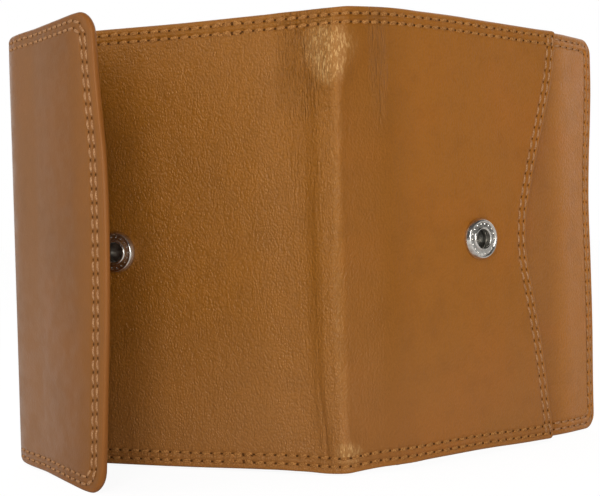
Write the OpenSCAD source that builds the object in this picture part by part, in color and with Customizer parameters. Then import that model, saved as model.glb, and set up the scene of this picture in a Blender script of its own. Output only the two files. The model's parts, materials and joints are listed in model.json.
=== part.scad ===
// Coupon organizer wallet: a two-part leather wallet with a rounded spine, a snap flap over its
// coin pocket, an outside slip pocket with a curved mouth, a gusseted coupon compartment and a
// closing tab. It stands on its long edges, half open, with the spine towards the viewer.

/* [Overall] */
// Height along the spine
height = 110; // [100:1:120]
// Distance between the outer faces of the closed wallet, which is the chord of the spine
closed_depth = 17; // [16.6:0.1:20]
// Angle by which the right half turns back from the left half at rest
open_turn = 56; // [20:0.5:100]
// Angle by which the spine swells beyond the two halves at each crease
spine_swell = 20; // [5:1:30]

/* [Leather] */
// Thickness of the outer leather
skin = 1.1; // [0.9:0.05:1.2]
// Thickness of the backing leather behind the outside pockets
backing = 1; // [0.8:0.1:1.2]
// Thickness of the inner panels and of the card slots
inner_skin = 0.7; // [0.5:0.05:0.8]
// Width of a turned edge
hem_w = 7; // [5:0.5:9]
// Gap left at a crease in the outer face
crease_gap = 0.2; // [0.1:0.05:0.4]

/* [Left half] */
// Width from the spine crease to the sewn free edge
left_w = 81.2; // [80:0.1:86]
// Clear depth of the gusseted coupon compartment
compartment = 4.4; // [4.2:0.1:5]
// Height of the folded gussets
gusset_h = 6; // [5:0.5:8]
// Width of the lowest card slot, which is the short side of a card
card_w = 54; // [54:0.5:56]
// Step from one card slot to the next
card_step = 12; // [10:1:14]
// Distance of the left snap from the spine crease
left_snap_x = 54.5; // [50:0.1:58]
// Height of the left snap
left_snap_z = 54; // [50:0.5:58]

/* [Right half] */
// Width of the flat stretch from the spine crease to the bend of the free edge
right_flat_w = 61.7; // [58:0.1:62]
// Width of the free edge beyond the bend
right_edge_w = 19.9; // [16:0.1:20]
// Angle of the bent free edge
right_edge_turn = 10; // [4:1:10]
// Width of the pocket front at its narrowest, in the middle of the mouth
mouth_mid_w = 48.1; // [46:0.1:50]
// Height of the middle of the mouth
mouth_mid_z = 54; // [50:1:60]
// Slope of the two flanks of the mouth
mouth_slope = 0.24; // [0.1:0.01:0.3]
// Radius in the middle of the mouth
mouth_radius = 29; // [15:1:60]
// Corner radius of the free edge
edge_corner = 4; // [2:0.5:6]
// Distance of the right snap from the spine crease
right_snap_x = 30.6; // [30:0.1:36]
// Height of the right snap
right_snap_z = 55; // [50:0.5:58]

/* [Flap] */
// Straight width of the flap
flap_flat_w = 39; // [34:0.5:42]
// Width of the whole flap in the middle, measured straight
flap_w = 52.7; // [47:0.1:53]
// How much narrower the flap is at its two ends
flap_bow = 2.4; // [0:0.1:4]
// Radius of the curl along the free edge
flap_curl_r = 28; // [20:1:60]
// Turn of the curl
flap_curl = 27; // [10:1:30]
// Corner radius of the flap
flap_corner = 5; // [3:0.5:8]
// Angle between the flap and the left half at rest
flap_rest = 37.9; // [10:0.1:90]
// Angle between the flap and the left half when the snap is shut
flap_shut = 4; // [4:0.5:6]
// Distance from the sewn edge to the fold of the flap
flap_fold_out = 0.4; // [0.4:0.1:1]

/* [Closing tab] */
// Width of the tab along the height of the wallet
tab_w = 26; // [20:1:32]
// Angle of the tab's tip towards the inside at rest
tab_rest = 20; // [0:1:40]
// Distance from the sewn edge to the tab
tab_out = 0.8; // [0.6:0.1:1.5]
// Length of the sewn end of the tab
tab_anchor_l = 13; // [10:1:16]
// Thickness of one tab layer
tab_skin = 0.9; // [0.7:0.05:1]

/* [Snaps] */
// Outer radius of the socket ring
ring_r = 5.3; // [4.8:0.1:6]
// Height of the socket ring above the leather
ring_h = 1.5; // [1.2:0.1:1.8]
// Radius of the hole in the socket ring
bore_r = 2.45; // [2.3:0.05:2.6]
// Radius of the stud's head
stud_r = 2; // [1.8:0.05:2.1]
// Height of the stud above the leather
stud_h = 2.3; // [2:0.1:2.4]

/* [Hidden] */

tan_leather = [0.60, 0.36, 0.15];
edge_leather = [0.66, 0.41, 0.19];
inner_leather = [0.52, 0.32, 0.15];
lining_cloth = [0.30, 0.22, 0.15];
bright_steel = [0.80, 0.80, 0.78];
dark_steel = [0.32, 0.32, 0.33];
clear_film = [0.85, 0.90, 0.92, 0.4];

// Slope by which each layer ends further from a crease than the layer outside it
crease_bevel = 0.8;
// Thickness of the right backing, its lining, the window film and frame, the spine lining and the gussets
right_backing_t = backing + 0.2;
lining_t = 0.6;
film_t = 0.2;
frame_t = 0.8;
spine_lining_t = 0.7;
gusset_t = 0.6;
// Depths below the outer face at which the layers start
pocket_y = skin;
backing_y = 2 * skin;
compartment_y = backing_y + backing;
panel_y = compartment_y + compartment;
slots_y = panel_y + inner_skin;
lining_y = backing_y + right_backing_t;
film_y = lining_y + lining_t;
frame_y = film_y + film_t;
// Slack between a turned edge at a pocket's mouth and the leather behind it
mouth_slack = 0.3;
// Where the inner pieces stop short of the spine
inner_end = 6;
// How far the mouth of the coin pocket stands back from the sewn edge
pocket_setback = 0.4;
// Side of a cut that passes through every layer
through = 20;

// Margin above and below the card slots, and the thumb dip in their mouths
slot_margin = 4;
dip_r = 30;
dip = 3;
// Setback of the gussets, the height at which their flanks lean, and the seat of the folded edge
gusset_setback = 1;
gusset_foot = 2;
gusset_seat = 2.2;

// Bend of the right free edge, and how far its lining stops short of it
right_bend_r = 40;
lining_inset = 2;
// Window in the right inner face: margins to the spine, the free edge and the long edges
window_margin = [10, 8, 18];
window_corner = 4;
film_lap = 3;
frame_margin = 3;

// Spine arc
half_span = open_turn / 2 + spine_swell;
spine_r = closed_depth / (2 * sin(half_span));
spine_gap_angle = crease_gap / spine_r * 180 / PI;
right_crease = closed_depth * [cos(open_turn / 2), sin(open_turn / 2)];

// Snap: sleeve wall of the rear cap, flat post head and the play round it
sleeve_t = 0.5;
post_r = 3.6;
post_h = 0.3;
post_play = 0.1;

// Flap hinge, on the flap's inner face
flap_layer = 1;
flap_lining_t = 0.9;
flap_t = flap_layer + flap_lining_t;
flap_tail = 4;
flap_axis_y = -0.45;
flap_axis = [-left_w - flap_fold_out, flap_axis_y];
flap_stud_reach = stud_h - 0.6;
flap_stud_x = (-flap_axis[0] - left_snap_x - flap_stud_reach * sin(flap_shut)) / cos(flap_shut);

// Tab hinges, on the tab's inner face
tab_root_axis = [-left_w - tab_out, slots_y];
tab_clearance = 0.75;
tab_stand = ring_h + tab_clearance;
tab_anchor_inset = 0.3;
tab_root_l = closed_depth + tab_stand - slots_y;
tab_tip_axis = tab_root_axis + [0, tab_root_l];
tab_stud_x = -tab_root_axis[0] - right_snap_x;
tab_tip_l = tab_stud_x + tab_w / 2;

// Middle of the wallet's box, which is brought over the origin
centre = [-13.8, 24.45];

// Points of an arc about c, of radius r, from angle a to angle b
function arc_points(c, r, a, b, n = 8) =
    [for (i = [0:n]) let (t = a + (b - a) * i / n) c + r * [cos(t), sin(t)]];

// Points at depth d of a sheet that runs straight to s, then bends by turn with radius r
function bent_path(d, start, s, r, turn, tail, n = 8) = concat(
    [[start, d]],
    [for (i = [0:n]) let (t = turn * i / n) [s, r] + (r - d) * [sin(t), -cos(t)]],
    [[s, r] + (r - d) * [sin(turn), -cos(turn)] + tail * [cos(turn), sin(turn)]]
);

// The same list from its end to its start
function backwards(points) = [for (i = [len(points) - 1:-1:0]) points[i]];

// Width of the right pocket front at height z: two flanks with a round between them
mouth_round = mouth_radius * mouth_slope * mouth_slope;
function mouth_w(z) =
    mouth_mid_w - mouth_round + sqrt(pow(mouth_round, 2) + pow(mouth_slope * (z - mouth_mid_z), 2));

// The wallet in its own frame, from the left crease's frame
module seat() {
    translate([-centre[0], -centre[1], 0]) children();
}

// Frame of the right half: x runs from its crease to its free edge, y runs inwards
module right_frame() {
    seat() translate([right_crease[0], right_crease[1], 0]) rotate([0, 0, open_turn]) children();
}

// Frame of the flap: x runs from the fold to the free edge, y runs towards the left half
module flap_frame() {
    seat()
        translate([flap_axis[0], flap_axis[1], 0])
            rotate([0, 0, -flap_rest])
                translate([0, -flap_t, 0])
                    children();
}

// Frames of the tab: x runs along the tab, y runs outwards from its inner face
module tab_root_frame() {
    seat() translate([tab_root_axis[0], tab_root_axis[1], 0]) rotate([0, 0, 90]) children();
}

module tab_tip_frame() {
    seat() translate([tab_tip_axis[0], tab_tip_axis[1], 0]) rotate([0, 0, 90 - tab_rest]) children();
}

// A sheet that faces along y: a drawing in x and z with a start depth and a thickness
module sheet(y, t) {
    translate([0, y + t, 0]) rotate([90, 0, 0]) linear_extrude(t) children();
}

// A layer of the left half between two heights, with its end bevelled at the crease
module left_layer(y, t, w, z_low, z_high) {
    translate([0, 0, z_low])
        linear_extrude(z_high - z_low)
            polygon([
                [-w, y],
                [-crease_gap - crease_bevel * y, y],
                [-crease_gap - crease_bevel * (y + t), y + t],
                [-w, y + t]
            ]);
}

// A drawing in x and z that reaches through every layer
module through_sheet() {
    sheet(-through / 2, through) children();
}

// Hole for the sleeve of a snap, with its axis along y
module snap_hole(x, z) {
    translate([x, -through / 2, z])
        rotate([-90, 0, 0])
            cylinder(h = through, r = bore_r + sleeve_t, $fn = 48);
}

// Socket ring, turned about y with its face towards -y
module socket_ring(x, z) {
    translate([x, 0, z])
        rotate([90, 0, 0])
            rotate_extrude($fn = 64)
                polygon([
                    [bore_r, 0], [bore_r, 0.1], [bore_r + 0.55, 0.25], [bore_r + 0.55, 0.85],
                    [bore_r, 1], [bore_r, ring_h - 0.3], [bore_r + 0.3, ring_h - 0.12],
                    [ring_r - 1.35, ring_h - 0.12], [ring_r - 1.05, ring_h], [ring_r - 0.55, ring_h - 0.08],
                    [ring_r - 0.15, ring_h - 0.5], [ring_r, ring_h - 0.95], [ring_r - 0.1, 0]
                ]);
}

// Split wire spring in the groove of the socket ring
module socket_spring(x, z) {
    translate([x, 0, z])
        rotate([90, 0, 0])
            translate([0, 0, 0.55])
                rotate([0, 0, 20])
                    rotate_extrude(angle = 320, $fn = 48)
                        translate([bore_r + 0.26, 0])
                            circle(r = 0.22, $fn = 16);
}

// Rear cap of the socket, with the tube that passes through the leather
module socket_cap(x, z) {
    translate([x, 0, z])
        rotate([-90, 0, 0])
            rotate_extrude($fn = 64)
                polygon([
                    [bore_r, 0], [bore_r + sleeve_t, 0], [bore_r + sleeve_t, skin], [ring_r - 0.7, skin],
                    [ring_r - 0.5, skin + 0.25], [ring_r - 0.9, skin + 0.8], [0, skin + 0.8],
                    [0, skin + 0.3], [bore_r, skin + 0.3]
                ]);
}

// Stud with a rounded head, turned about y with its head towards +y
module stud(x, z) {
    translate([x, 0, z])
        rotate([-90, 0, 0])
            rotate_extrude($fn = 48)
                polygon([
                    [0, 0], [3.2, 0], [3.05, 0.3], [2.3, 0.45], [stud_r - 0.35, 0.6],
                    [stud_r - 0.35, stud_h - 1.1], [stud_r, stud_h - 0.75], [stud_r, stud_h - 0.5],
                    [stud_r - 0.45, stud_h - 0.1], [stud_r - 0.9, stud_h], [0, stud_h]
                ]);
}

// Flat post head that is riveted between the two layers of a flap or tab
module stud_post(x, y, z) {
    translate([x, y, z]) rotate([-90, 0, 0]) cylinder(h = post_h, r = post_r, $fn = 48);
}

// Recess in which the post head lies
module post_recess(x, y, z) {
    translate([x, y, z]) rotate([-90, 0, 0]) cylinder(h = through, r = post_r + post_play, $fn = 48);
}

module cover_left() {
    w = left_w - pocket_setback;
    color(tan_leather)
        seat()
            difference() {
                union() {
                    left_layer(0, skin, w, 0, height);
                    left_layer(pocket_y, skin, w, 0, hem_w);
                    left_layer(pocket_y, skin, w, height - hem_w, height);
                    translate([-w, pocket_y, hem_w])
                        cube([hem_w, skin - mouth_slack, height - 2 * hem_w]);
                }
                snap_hole(-left_snap_x, left_snap_z);
            }
}

module backing_left() {
    color(inner_leather) seat() left_layer(backing_y, backing, left_w, 0, height);
}

// Folded gusset: a strip that dips into the compartment between the backing and the inner panel
module gusset() {
    mid = compartment / 2;
    crest = gusset_t * 0.6;
    w = left_w - gusset_setback;
    translate([-w, compartment_y, 0])
        rotate([90, 0, 90])
            linear_extrude(w - inner_end)
                polygon([
                    [0, 0], [gusset_t, 0], [gusset_t, gusset_foot], [mid, gusset_h - gusset_t],
                    [compartment - gusset_t, gusset_foot], [compartment - gusset_t, 0], [compartment, 0],
                    [compartment, gusset_seat], [mid + crest, gusset_h], [mid - crest, gusset_h],
                    [0, gusset_seat]
                ]);
}

module gusset_bottom() {
    color(inner_leather) seat() gusset();
}

module gusset_top() {
    color(inner_leather) seat() translate([0, 0, height]) mirror([0, 0, 1]) gusset();
}

// Leather strip that closes the compartment beside the spine
module compartment_end() {
    color(inner_leather)
        seat()
            translate([-inner_end, compartment_y, 0])
                cube([skin, compartment, height]);
}

module inner_panel_left() {
    color(inner_leather)
        seat()
            translate([-left_w, panel_y, 0])
                cube([left_w - inner_end + skin, inner_skin, height]);
}

// Card slot number i, counted from the inner panel, with a shallow thumb dip in its mouth
module card_slot(i) {
    w = card_w - card_step * i;
    color(tan_leather)
        seat()
            sheet(slots_y + inner_skin * i, inner_skin)
                difference() {
                    translate([-inner_end - w, slot_margin]) square([w, height - 2 * slot_margin]);
                    translate([-inner_end - w - dip_r + dip, height / 2]) circle(r = dip_r, $fn = 96);
                }
}

module card_slot_rear() {
    card_slot(0);
}

module card_slot_middle() {
    card_slot(1);
}

module card_slot_front() {
    card_slot(2);
}

module tab_anchor() {
    color(tan_leather)
        seat()
            translate([-left_w + tab_anchor_inset, slots_y, right_snap_z - tab_w / 2])
                cube([tab_anchor_l, tab_skin, tab_w]);
}

module spine_layer(depth, t) {
    start = -90 - spine_swell + spine_gap_angle;
    seat()
        translate([spine_r * sin(spine_swell), spine_r * cos(spine_swell), 0])
            rotate([0, 0, start])
                rotate_extrude(angle = 2 * (half_span - spine_gap_angle), $fn = 128)
                    translate([spine_r - depth - t, 0])
                        square([t, height]);
}

module spine_cover() {
    color(tan_leather) spine_layer(0, skin);
}

module spine_lining() {
    color(lining_cloth) spine_layer(skin, spine_lining_t);
}

// Drawing of the right pocket front, held back from its mouth by inset
module pocket_outline(start, inset) {
    steps = 24;
    polygon(concat(
        [[start, height], [start, 0]],
        [for (i = [0:steps]) let (z = height * i / steps) [mouth_w(z) - inset, z]]
    ));
}

module cover_right() {
    end_x = crease_gap + crease_bevel * skin;
    hem_x = crease_gap + 2 * crease_bevel * skin;
    color(tan_leather)
        right_frame()
            difference() {
                union() {
                    sheet(0, skin) pocket_outline(end_x, 0);
                    sheet(pocket_y, skin) intersection() {
                        pocket_outline(hem_x, 0);
                        union() {
                            square([right_flat_w + hem_w, hem_w]);
                            translate([0, height - hem_w]) square([right_flat_w + hem_w, hem_w]);
                        }
                    }
                    sheet(pocket_y, skin - mouth_slack) difference() {
                        pocket_outline(hem_x, 0);
                        pocket_outline(hem_x - 1, hem_w);
                    }
                }
                snap_hole(right_snap_x, right_snap_z);
            }
}

// Drawing of the right half's sheets, with the two rounded corners of the free edge
module right_outline(start, inset) {
    end = right_flat_w + right_edge_w * cos(right_edge_turn) - inset;
    r = edge_corner;
    polygon(concat(
        [[start, inset]],
        arc_points([end - r, inset + r], r, -90, 0),
        arc_points([end - r, height - inset - r], r, 0, 90),
        [[start, height - inset]]
    ));
}

// A layer of the right half that runs on into the bent free edge
module right_layer(depth, t, inset) {
    start = crease_gap + crease_bevel * (depth + t);
    front = bent_path(depth, start, right_flat_w, right_bend_r, right_edge_turn, right_edge_w);
    back = bent_path(depth + t, start, right_flat_w, right_bend_r, right_edge_turn, right_edge_w);
    right_frame()
        intersection() {
            linear_extrude(height) polygon(concat(front, backwards(back)));
            through_sheet() right_outline(0, inset);
        }
}

module backing_right() {
    color(edge_leather) right_layer(backing_y, right_backing_t, 0);
}

module lining_right() {
    color(lining_cloth) right_layer(lining_y, lining_t, lining_inset);
}

// Rounded rectangle in the middle of the right inner face, grown by g
module window_shape(g) {
    r = window_corner;
    x = [window_margin[0] - g, right_flat_w - window_margin[1] + g];
    z = [window_margin[2] - g, height - window_margin[2] + g];
    polygon(concat(
        arc_points([x[1] - r, z[0] + r], r, -90, 0),
        arc_points([x[1] - r, z[1] - r], r, 0, 90),
        arc_points([x[0] + r, z[1] - r], r, 90, 180),
        arc_points([x[0] + r, z[0] + r], r, 180, 270)
    ));
}

module window_film() {
    color(clear_film) right_frame() sheet(film_y, film_t) window_shape(film_lap);
}

module window_frame() {
    color(inner_leather)
        right_frame()
            sheet(frame_y, frame_t)
                difference() {
                    translate([inner_end - 1, frame_margin])
                        square([right_flat_w - inner_end, height - 2 * frame_margin]);
                    window_shape(0);
                }
}

// Drawing of the flap, with its bowed free edge and two rounded corners
module flap_outline() {
    r = flap_corner;
    steps = 16;
    low = r;
    high = height - r;
    end = flap_w - flap_bow;
    polygon(concat(
        [[0, 0]],
        arc_points([end - r, r], r, -90, 0),
        [for (i = [1:steps - 1])
            let (z = low + (high - low) * i / steps, u = 2 * (z - height / 2) / (high - low))
                [end + flap_bow * (1 - u * u), z]],
        arc_points([end - r, height - r], r, 0, 90),
        [[0, height]]
    ));
}

module flap_layer_sheet(depth, t) {
    front = bent_path(depth, 0, flap_flat_w, flap_curl_r, flap_curl, flap_tail);
    back = bent_path(depth + t, 0, flap_flat_w, flap_curl_r, flap_curl, flap_tail);
    intersection() {
        linear_extrude(height) polygon(concat(front, backwards(back)));
        through_sheet() flap_outline();
    }
}

module flap_cover() {
    color(tan_leather)
        flap_frame()
            difference() {
                flap_layer_sheet(0, flap_layer);
                post_recess(flap_stud_x, flap_layer - post_h, left_snap_z);
            }
}

module flap_lining() {
    color(inner_leather) flap_frame() flap_layer_sheet(flap_layer, flap_lining_t);
}

module flap_stud() {
    color(bright_steel) flap_frame() translate([0, flap_t, 0]) stud(flap_stud_x, left_snap_z);
}

module flap_stud_post() {
    color(dark_steel) flap_frame() stud_post(flap_stud_x, flap_layer - post_h, left_snap_z);
}

// Drawing of the tab, from its crease to its end
module tab_outline(length) {
    translate([0, right_snap_z - tab_w / 2]) square([length, tab_w]);
}

module tab_tip_outline() {
    tab_outline(tab_tip_l - tab_w / 2);
    translate([tab_tip_l - tab_w / 2, right_snap_z]) circle(r = tab_w / 2, $fn = 96);
}

module tab_root_lining() {
    color(inner_leather) tab_root_frame() sheet(0, tab_skin) tab_outline(tab_root_l);
}

module tab_root_cover() {
    color(tan_leather) tab_root_frame() sheet(tab_skin, tab_skin) tab_outline(tab_root_l);
}

module tab_tip_lining() {
    color(inner_leather) tab_tip_frame() sheet(0, tab_skin) tab_tip_outline();
}

module tab_tip_cover() {
    color(tan_leather)
        tab_tip_frame()
            difference() {
                sheet(tab_skin, tab_skin) tab_tip_outline();
                post_recess(tab_stud_x, tab_skin + post_h - through, right_snap_z);
            }
}

module tab_stud() {
    color(bright_steel) tab_tip_frame() mirror([0, 1, 0]) stud(tab_stud_x, right_snap_z);
}

module tab_stud_post() {
    color(dark_steel) tab_tip_frame() stud_post(tab_stud_x, tab_skin, right_snap_z);
}

module snap_ring_left() {
    color(bright_steel) seat() socket_ring(-left_snap_x, left_snap_z);
}

module snap_spring_left() {
    color(dark_steel) seat() socket_spring(-left_snap_x, left_snap_z);
}

module snap_cap_left() {
    color(bright_steel) seat() socket_cap(-left_snap_x, left_snap_z);
}

module snap_ring_right() {
    color(bright_steel) right_frame() socket_ring(right_snap_x, right_snap_z);
}

module snap_spring_right() {
    color(dark_steel) right_frame() socket_spring(right_snap_x, right_snap_z);
}

module snap_cap_right() {
    color(bright_steel) right_frame() socket_cap(right_snap_x, right_snap_z);
}

cover_left();
backing_left();
gusset_top();
gusset_bottom();
compartment_end();
inner_panel_left();
card_slot_rear();
card_slot_middle();
card_slot_front();
tab_anchor();
snap_ring_left();
snap_spring_left();
snap_cap_left();
spine_cover();
spine_lining();
cover_right();
backing_right();
lining_right();
window_film();
window_frame();
snap_ring_right();
snap_spring_right();
snap_cap_right();
flap_cover();
flap_lining();
flap_stud();
flap_stud_post();
tab_root_cover();
tab_root_lining();
tab_tip_cover();
tab_tip_lining();
tab_stud();
tab_stud_post();
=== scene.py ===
"""Looks of the coupon organizer wallet: skins, seams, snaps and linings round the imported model."""

import json
import logging
import math
from collections.abc import Callable, Iterator, Sequence
from contextlib import contextmanager
from dataclasses import dataclass, field, replace
from enum import Enum

import bpy
import numpy as np
from mathutils import Matrix, Vector, noise
from mathutils.kdtree import KDTree


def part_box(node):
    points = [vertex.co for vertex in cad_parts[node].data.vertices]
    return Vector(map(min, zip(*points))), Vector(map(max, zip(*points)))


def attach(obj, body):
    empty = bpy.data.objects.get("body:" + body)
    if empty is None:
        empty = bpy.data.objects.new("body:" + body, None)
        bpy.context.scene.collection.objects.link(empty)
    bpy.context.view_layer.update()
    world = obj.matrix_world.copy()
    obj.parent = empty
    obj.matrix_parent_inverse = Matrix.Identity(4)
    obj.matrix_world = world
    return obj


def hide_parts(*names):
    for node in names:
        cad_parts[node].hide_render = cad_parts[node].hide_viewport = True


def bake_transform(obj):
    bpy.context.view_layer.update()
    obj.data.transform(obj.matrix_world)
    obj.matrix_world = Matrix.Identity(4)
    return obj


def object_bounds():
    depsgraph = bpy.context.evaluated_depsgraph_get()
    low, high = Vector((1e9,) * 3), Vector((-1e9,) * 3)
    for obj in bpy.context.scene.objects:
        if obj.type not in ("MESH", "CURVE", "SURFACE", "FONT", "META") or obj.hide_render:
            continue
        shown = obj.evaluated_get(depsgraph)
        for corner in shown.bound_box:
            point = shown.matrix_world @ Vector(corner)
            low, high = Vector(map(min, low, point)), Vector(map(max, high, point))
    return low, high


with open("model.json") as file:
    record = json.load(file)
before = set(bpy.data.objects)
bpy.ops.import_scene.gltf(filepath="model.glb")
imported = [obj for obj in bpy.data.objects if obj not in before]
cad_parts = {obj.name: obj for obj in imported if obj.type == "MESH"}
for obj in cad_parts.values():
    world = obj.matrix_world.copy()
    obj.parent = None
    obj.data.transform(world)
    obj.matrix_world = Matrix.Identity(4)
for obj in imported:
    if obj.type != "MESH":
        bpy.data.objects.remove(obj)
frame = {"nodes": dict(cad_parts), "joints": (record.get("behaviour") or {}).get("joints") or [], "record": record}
CAD_LOW, CAD_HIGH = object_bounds()
bpy.ops.object.select_all(action="DESELECT")

logging.basicConfig(level=logging.INFO, format="%(message)s")
log = logging.getLogger("wallet")

MM = 0.001
Floats = np.ndarray
Curve = Callable[[Floats], Floats]
Relief = Callable[[Floats, Floats], Floats]
Pair = tuple[float, float]
Colour = tuple[float, float, float, float]
Shape = tuple[Floats, list[tuple[int, ...]]]
Socket = bpy.types.NodeSocket
Material = bpy.types.Material
Piece = bpy.types.Object


def joint_place(name: str) -> Pair:
    """Gives where a joint's axis stands in plan.

    Args:
        name: The joint's name in the record.

    Returns:
        x and y in millimetres.
    """
    joint = next(j for j in frame["joints"] if j["name"] == name)
    return joint["pos_m"][0] / MM, joint["pos_m"][1] / MM


def box_mm(node: str) -> tuple[Vector, Vector]:
    """Gives a node's lowest and highest corner in millimetres.

    Args:
        node: The node's name.

    Returns:
        The two corners.
    """
    low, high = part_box(node)
    return low / MM, high / MM


def tone(red: int, green: int, blue: int) -> Colour:
    """Turns a colour as seen on a screen into the shader's linear colour.

    Args:
        red: Red, 0 to 255.
        green: Green, 0 to 255.
        blue: Blue, 0 to 255.

    Returns:
        The linear colour with an alpha of 1.
    """
    def linear(value: int) -> float:
        """Turns one channel by the sRGB rule."""
        share = value / 255
        return share / 12.92 if share <= 0.04045 else ((share + 0.055) / 1.055) ** 2.4

    return linear(red), linear(green), linear(blue), 1.0


def smooth(x: Floats, low: float, high: float) -> Floats:
    """Rises smoothly from 0 at low to 1 at high.

    Args:
        x: The values.
        low: Where the rise starts.
        high: Where it ends.

    Returns:
        The share for each value.
    """
    t = np.clip((np.asarray(x, float) - low) / (high - low), 0, 1)
    return t * t * (3 - 2 * t)


def together(s: Floats, z: Floats) -> tuple[Floats, Floats]:
    """Brings s and z to one shape."""
    return np.broadcast_arrays(np.asarray(s, float), np.asarray(z, float))


def hump(x: Floats, middle: Floats | float, width: Floats | float) -> Floats:
    """Gives a bell curve of height 1 with the given middle and half width."""
    return np.exp(-((x - middle) / width) ** 2)


def cloud(a: Floats, b: Floats, size_a: float, size_b: float, seed: float) -> Floats:
    """Gives smooth noise over two coordinates.

    Args:
        a: First coordinates in millimetres.
        b: Second coordinates in millimetres, of the same shape.
        size_a: Size of a lump along the first.
        size_b: Size of a lump along the second.
        seed: Offset that picks another pattern.

    Returns:
        Values from about -1 to 1, in the shape of a.
    """
    shape = np.shape(a)
    flat = zip(np.ravel(a) / size_a, np.ravel(b) / size_b)
    values = [noise.noise(Vector((x + seed, y - seed, seed * 0.37))) for x, y in flat]
    return np.array(values).reshape(shape)


def curve(points: Sequence[Pair]) -> Curve:
    """Makes a smooth function that passes through points.

    Args:
        points: Places and values, with the places rising.

    Returns:
        The function.
    """
    places, values = (np.array(v, float) for v in zip(*points))
    slopes = np.gradient(values, places)

    def read(x: Floats) -> Floats:
        """Reads the function, with its end values beyond its ends."""
        x = np.clip(np.asarray(x, float), places[0], places[-1])
        k = np.clip(np.searchsorted(places, x, side="right") - 1, 0, len(places) - 2)
        span = places[k + 1] - places[k]
        t = (x - places[k]) / span
        return ((1 + 2 * t) * (1 - t) ** 2 * values[k] + t * (1 - t) ** 2 * span * slopes[k]
                + t * t * (3 - 2 * t) * values[k + 1] + t * t * (t - 1) * span * slopes[k + 1])

    return read


# Sizes that the pieces share, in millimetres. OPEN_TURN, EDGE_BEND, FLAP_REST and TAB_REST are in
# degrees, and HALF_TURN and SPINE_SWELL in radians.

HEIGHT = (CAD_HIGH.z - CAD_LOW.z) / MM
CREASE_A = joint_place("left_crease")
CREASE_B = joint_place("right_crease")
CHORD = math.dist(CREASE_A, CREASE_B)
HALF_TURN = math.atan2(CREASE_B[1] - CREASE_A[1], CREASE_B[0] - CREASE_A[0])
OPEN_TURN = 2 * math.degrees(HALF_TURN)
SPINE_SWELL = math.radians(20.0)
SPINE_LENGTH = CHORD / math.sin(HALF_TURN + SPINE_SWELL) * (HALF_TURN + SPINE_SWELL)
POCKET_W = 80.8
TURNED = 1.9
SPINE_SKIN = 1.05
RIGHT_FLAT = 61.7
EDGE_BEND = 10.0
EDGE_BEND_R = 40.0
EDGE_ARC = EDGE_BEND_R * math.radians(EDGE_BEND)
ROWS = (1.7, 3.7)
MOUTH_ROWS = (1.35, 3.1)
LEFT_SNAP = (-54.5, 54.0)
RIGHT_SNAP = (30.6, 55.0)
FLAP_REST = 37.9
FLAP_THICK = 1.9
FLAP_AXIS = joint_place("flap_fold")
TAB_ROOT_AXIS = joint_place("tab_root_fold")
TAB_TIP_AXIS = joint_place("tab_tip_fold")
TAB_REST = 20.0
TAB_W = 26.0
TAB_SKIN = 0.9
TAB_MIDDLE = 55.0


class Slot(Enum):
    """Material slots of the record."""

    OUTER = "outer_leather"
    STRAP = "strap_leather"
    INNER = "inner_leather"
    CLOTH = "lining_cloth"
    CHROME = "snap_chrome"
    STEEL = "snap_steel"
    FILM = "window_film"


class Edge(Enum):
    """How a sheet ends on one side."""

    ROLLED = "rolled"
    CUT = "cut"


class Wiring:
    """A small helper that wires the nodes of one tree."""

    def __init__(self, tree: bpy.types.NodeTree) -> None:
        """Takes the tree to wire."""
        self.tree = tree

    def add(self, kind: str, **settings: object) -> bpy.types.Node:
        """Adds a node and sets its properties.

        Args:
            kind: The node's type.
            **settings: Properties of the node.

        Returns:
            The node.
        """
        node = self.tree.nodes.new(kind)
        for key, value in settings.items():
            setattr(node, key, value)
        return node

    def link(self, output: Socket, target: Socket) -> None:
        """Links one output to one input."""
        self.tree.links.new(output, target)

    def feed(self, value: object, target: Socket) -> None:
        """Links an output to an input, or else gives the input a plain value."""
        if isinstance(value, Socket):
            self.link(value, target)
        else:
            target.default_value = value

    def axes(self, place: Socket) -> tuple[Socket, Socket, Socket]:
        """Splits coordinates into x, y and z."""
        node = self.add("ShaderNodeSeparateXYZ")
        self.link(place, node.inputs["Vector"])
        return node.outputs["X"], node.outputs["Y"], node.outputs["Z"]

    def ramp(self, value: Socket, low: float, high: float, bottom: float = 0.0,
             top: float = 1.0) -> Socket:
        """Maps a value from one range to another, smoothly.

        Args:
            value: The value.
            low: Start of its range.
            high: End of its range.
            bottom: Result at the start.
            top: Result at the end.

        Returns:
            The result.
        """
        node = self.add("ShaderNodeMapRange", interpolation_type="SMOOTHSTEP")
        keys = ("From Min", "From Max", "To Min", "To Max")
        for key, number in zip(keys, (low, high, bottom, top)):
            node.inputs[key].default_value = number
        self.link(value, node.inputs["Value"])
        return node.outputs["Result"]

    def math(self, operation: str, one: object, other: object = 0.0) -> Socket:
        """Does one sum on numbers or outputs.

        Args:
            operation: The operation's name.
            one: A number or an output.
            other: A number or an output.

        Returns:
            The result.
        """
        node = self.add("ShaderNodeMath", operation=operation)
        for target, value in zip(node.inputs, (one, other)):
            self.feed(value, target)
        return node.outputs["Value"]

    def plus(self, one: object, other: object) -> Socket:
        """Adds two numbers or outputs."""
        return self.math("ADD", one, other)

    def times(self, one: object, other: object) -> Socket:
        """Multiplies two numbers or outputs."""
        return self.math("MULTIPLY", one, other)


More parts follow.
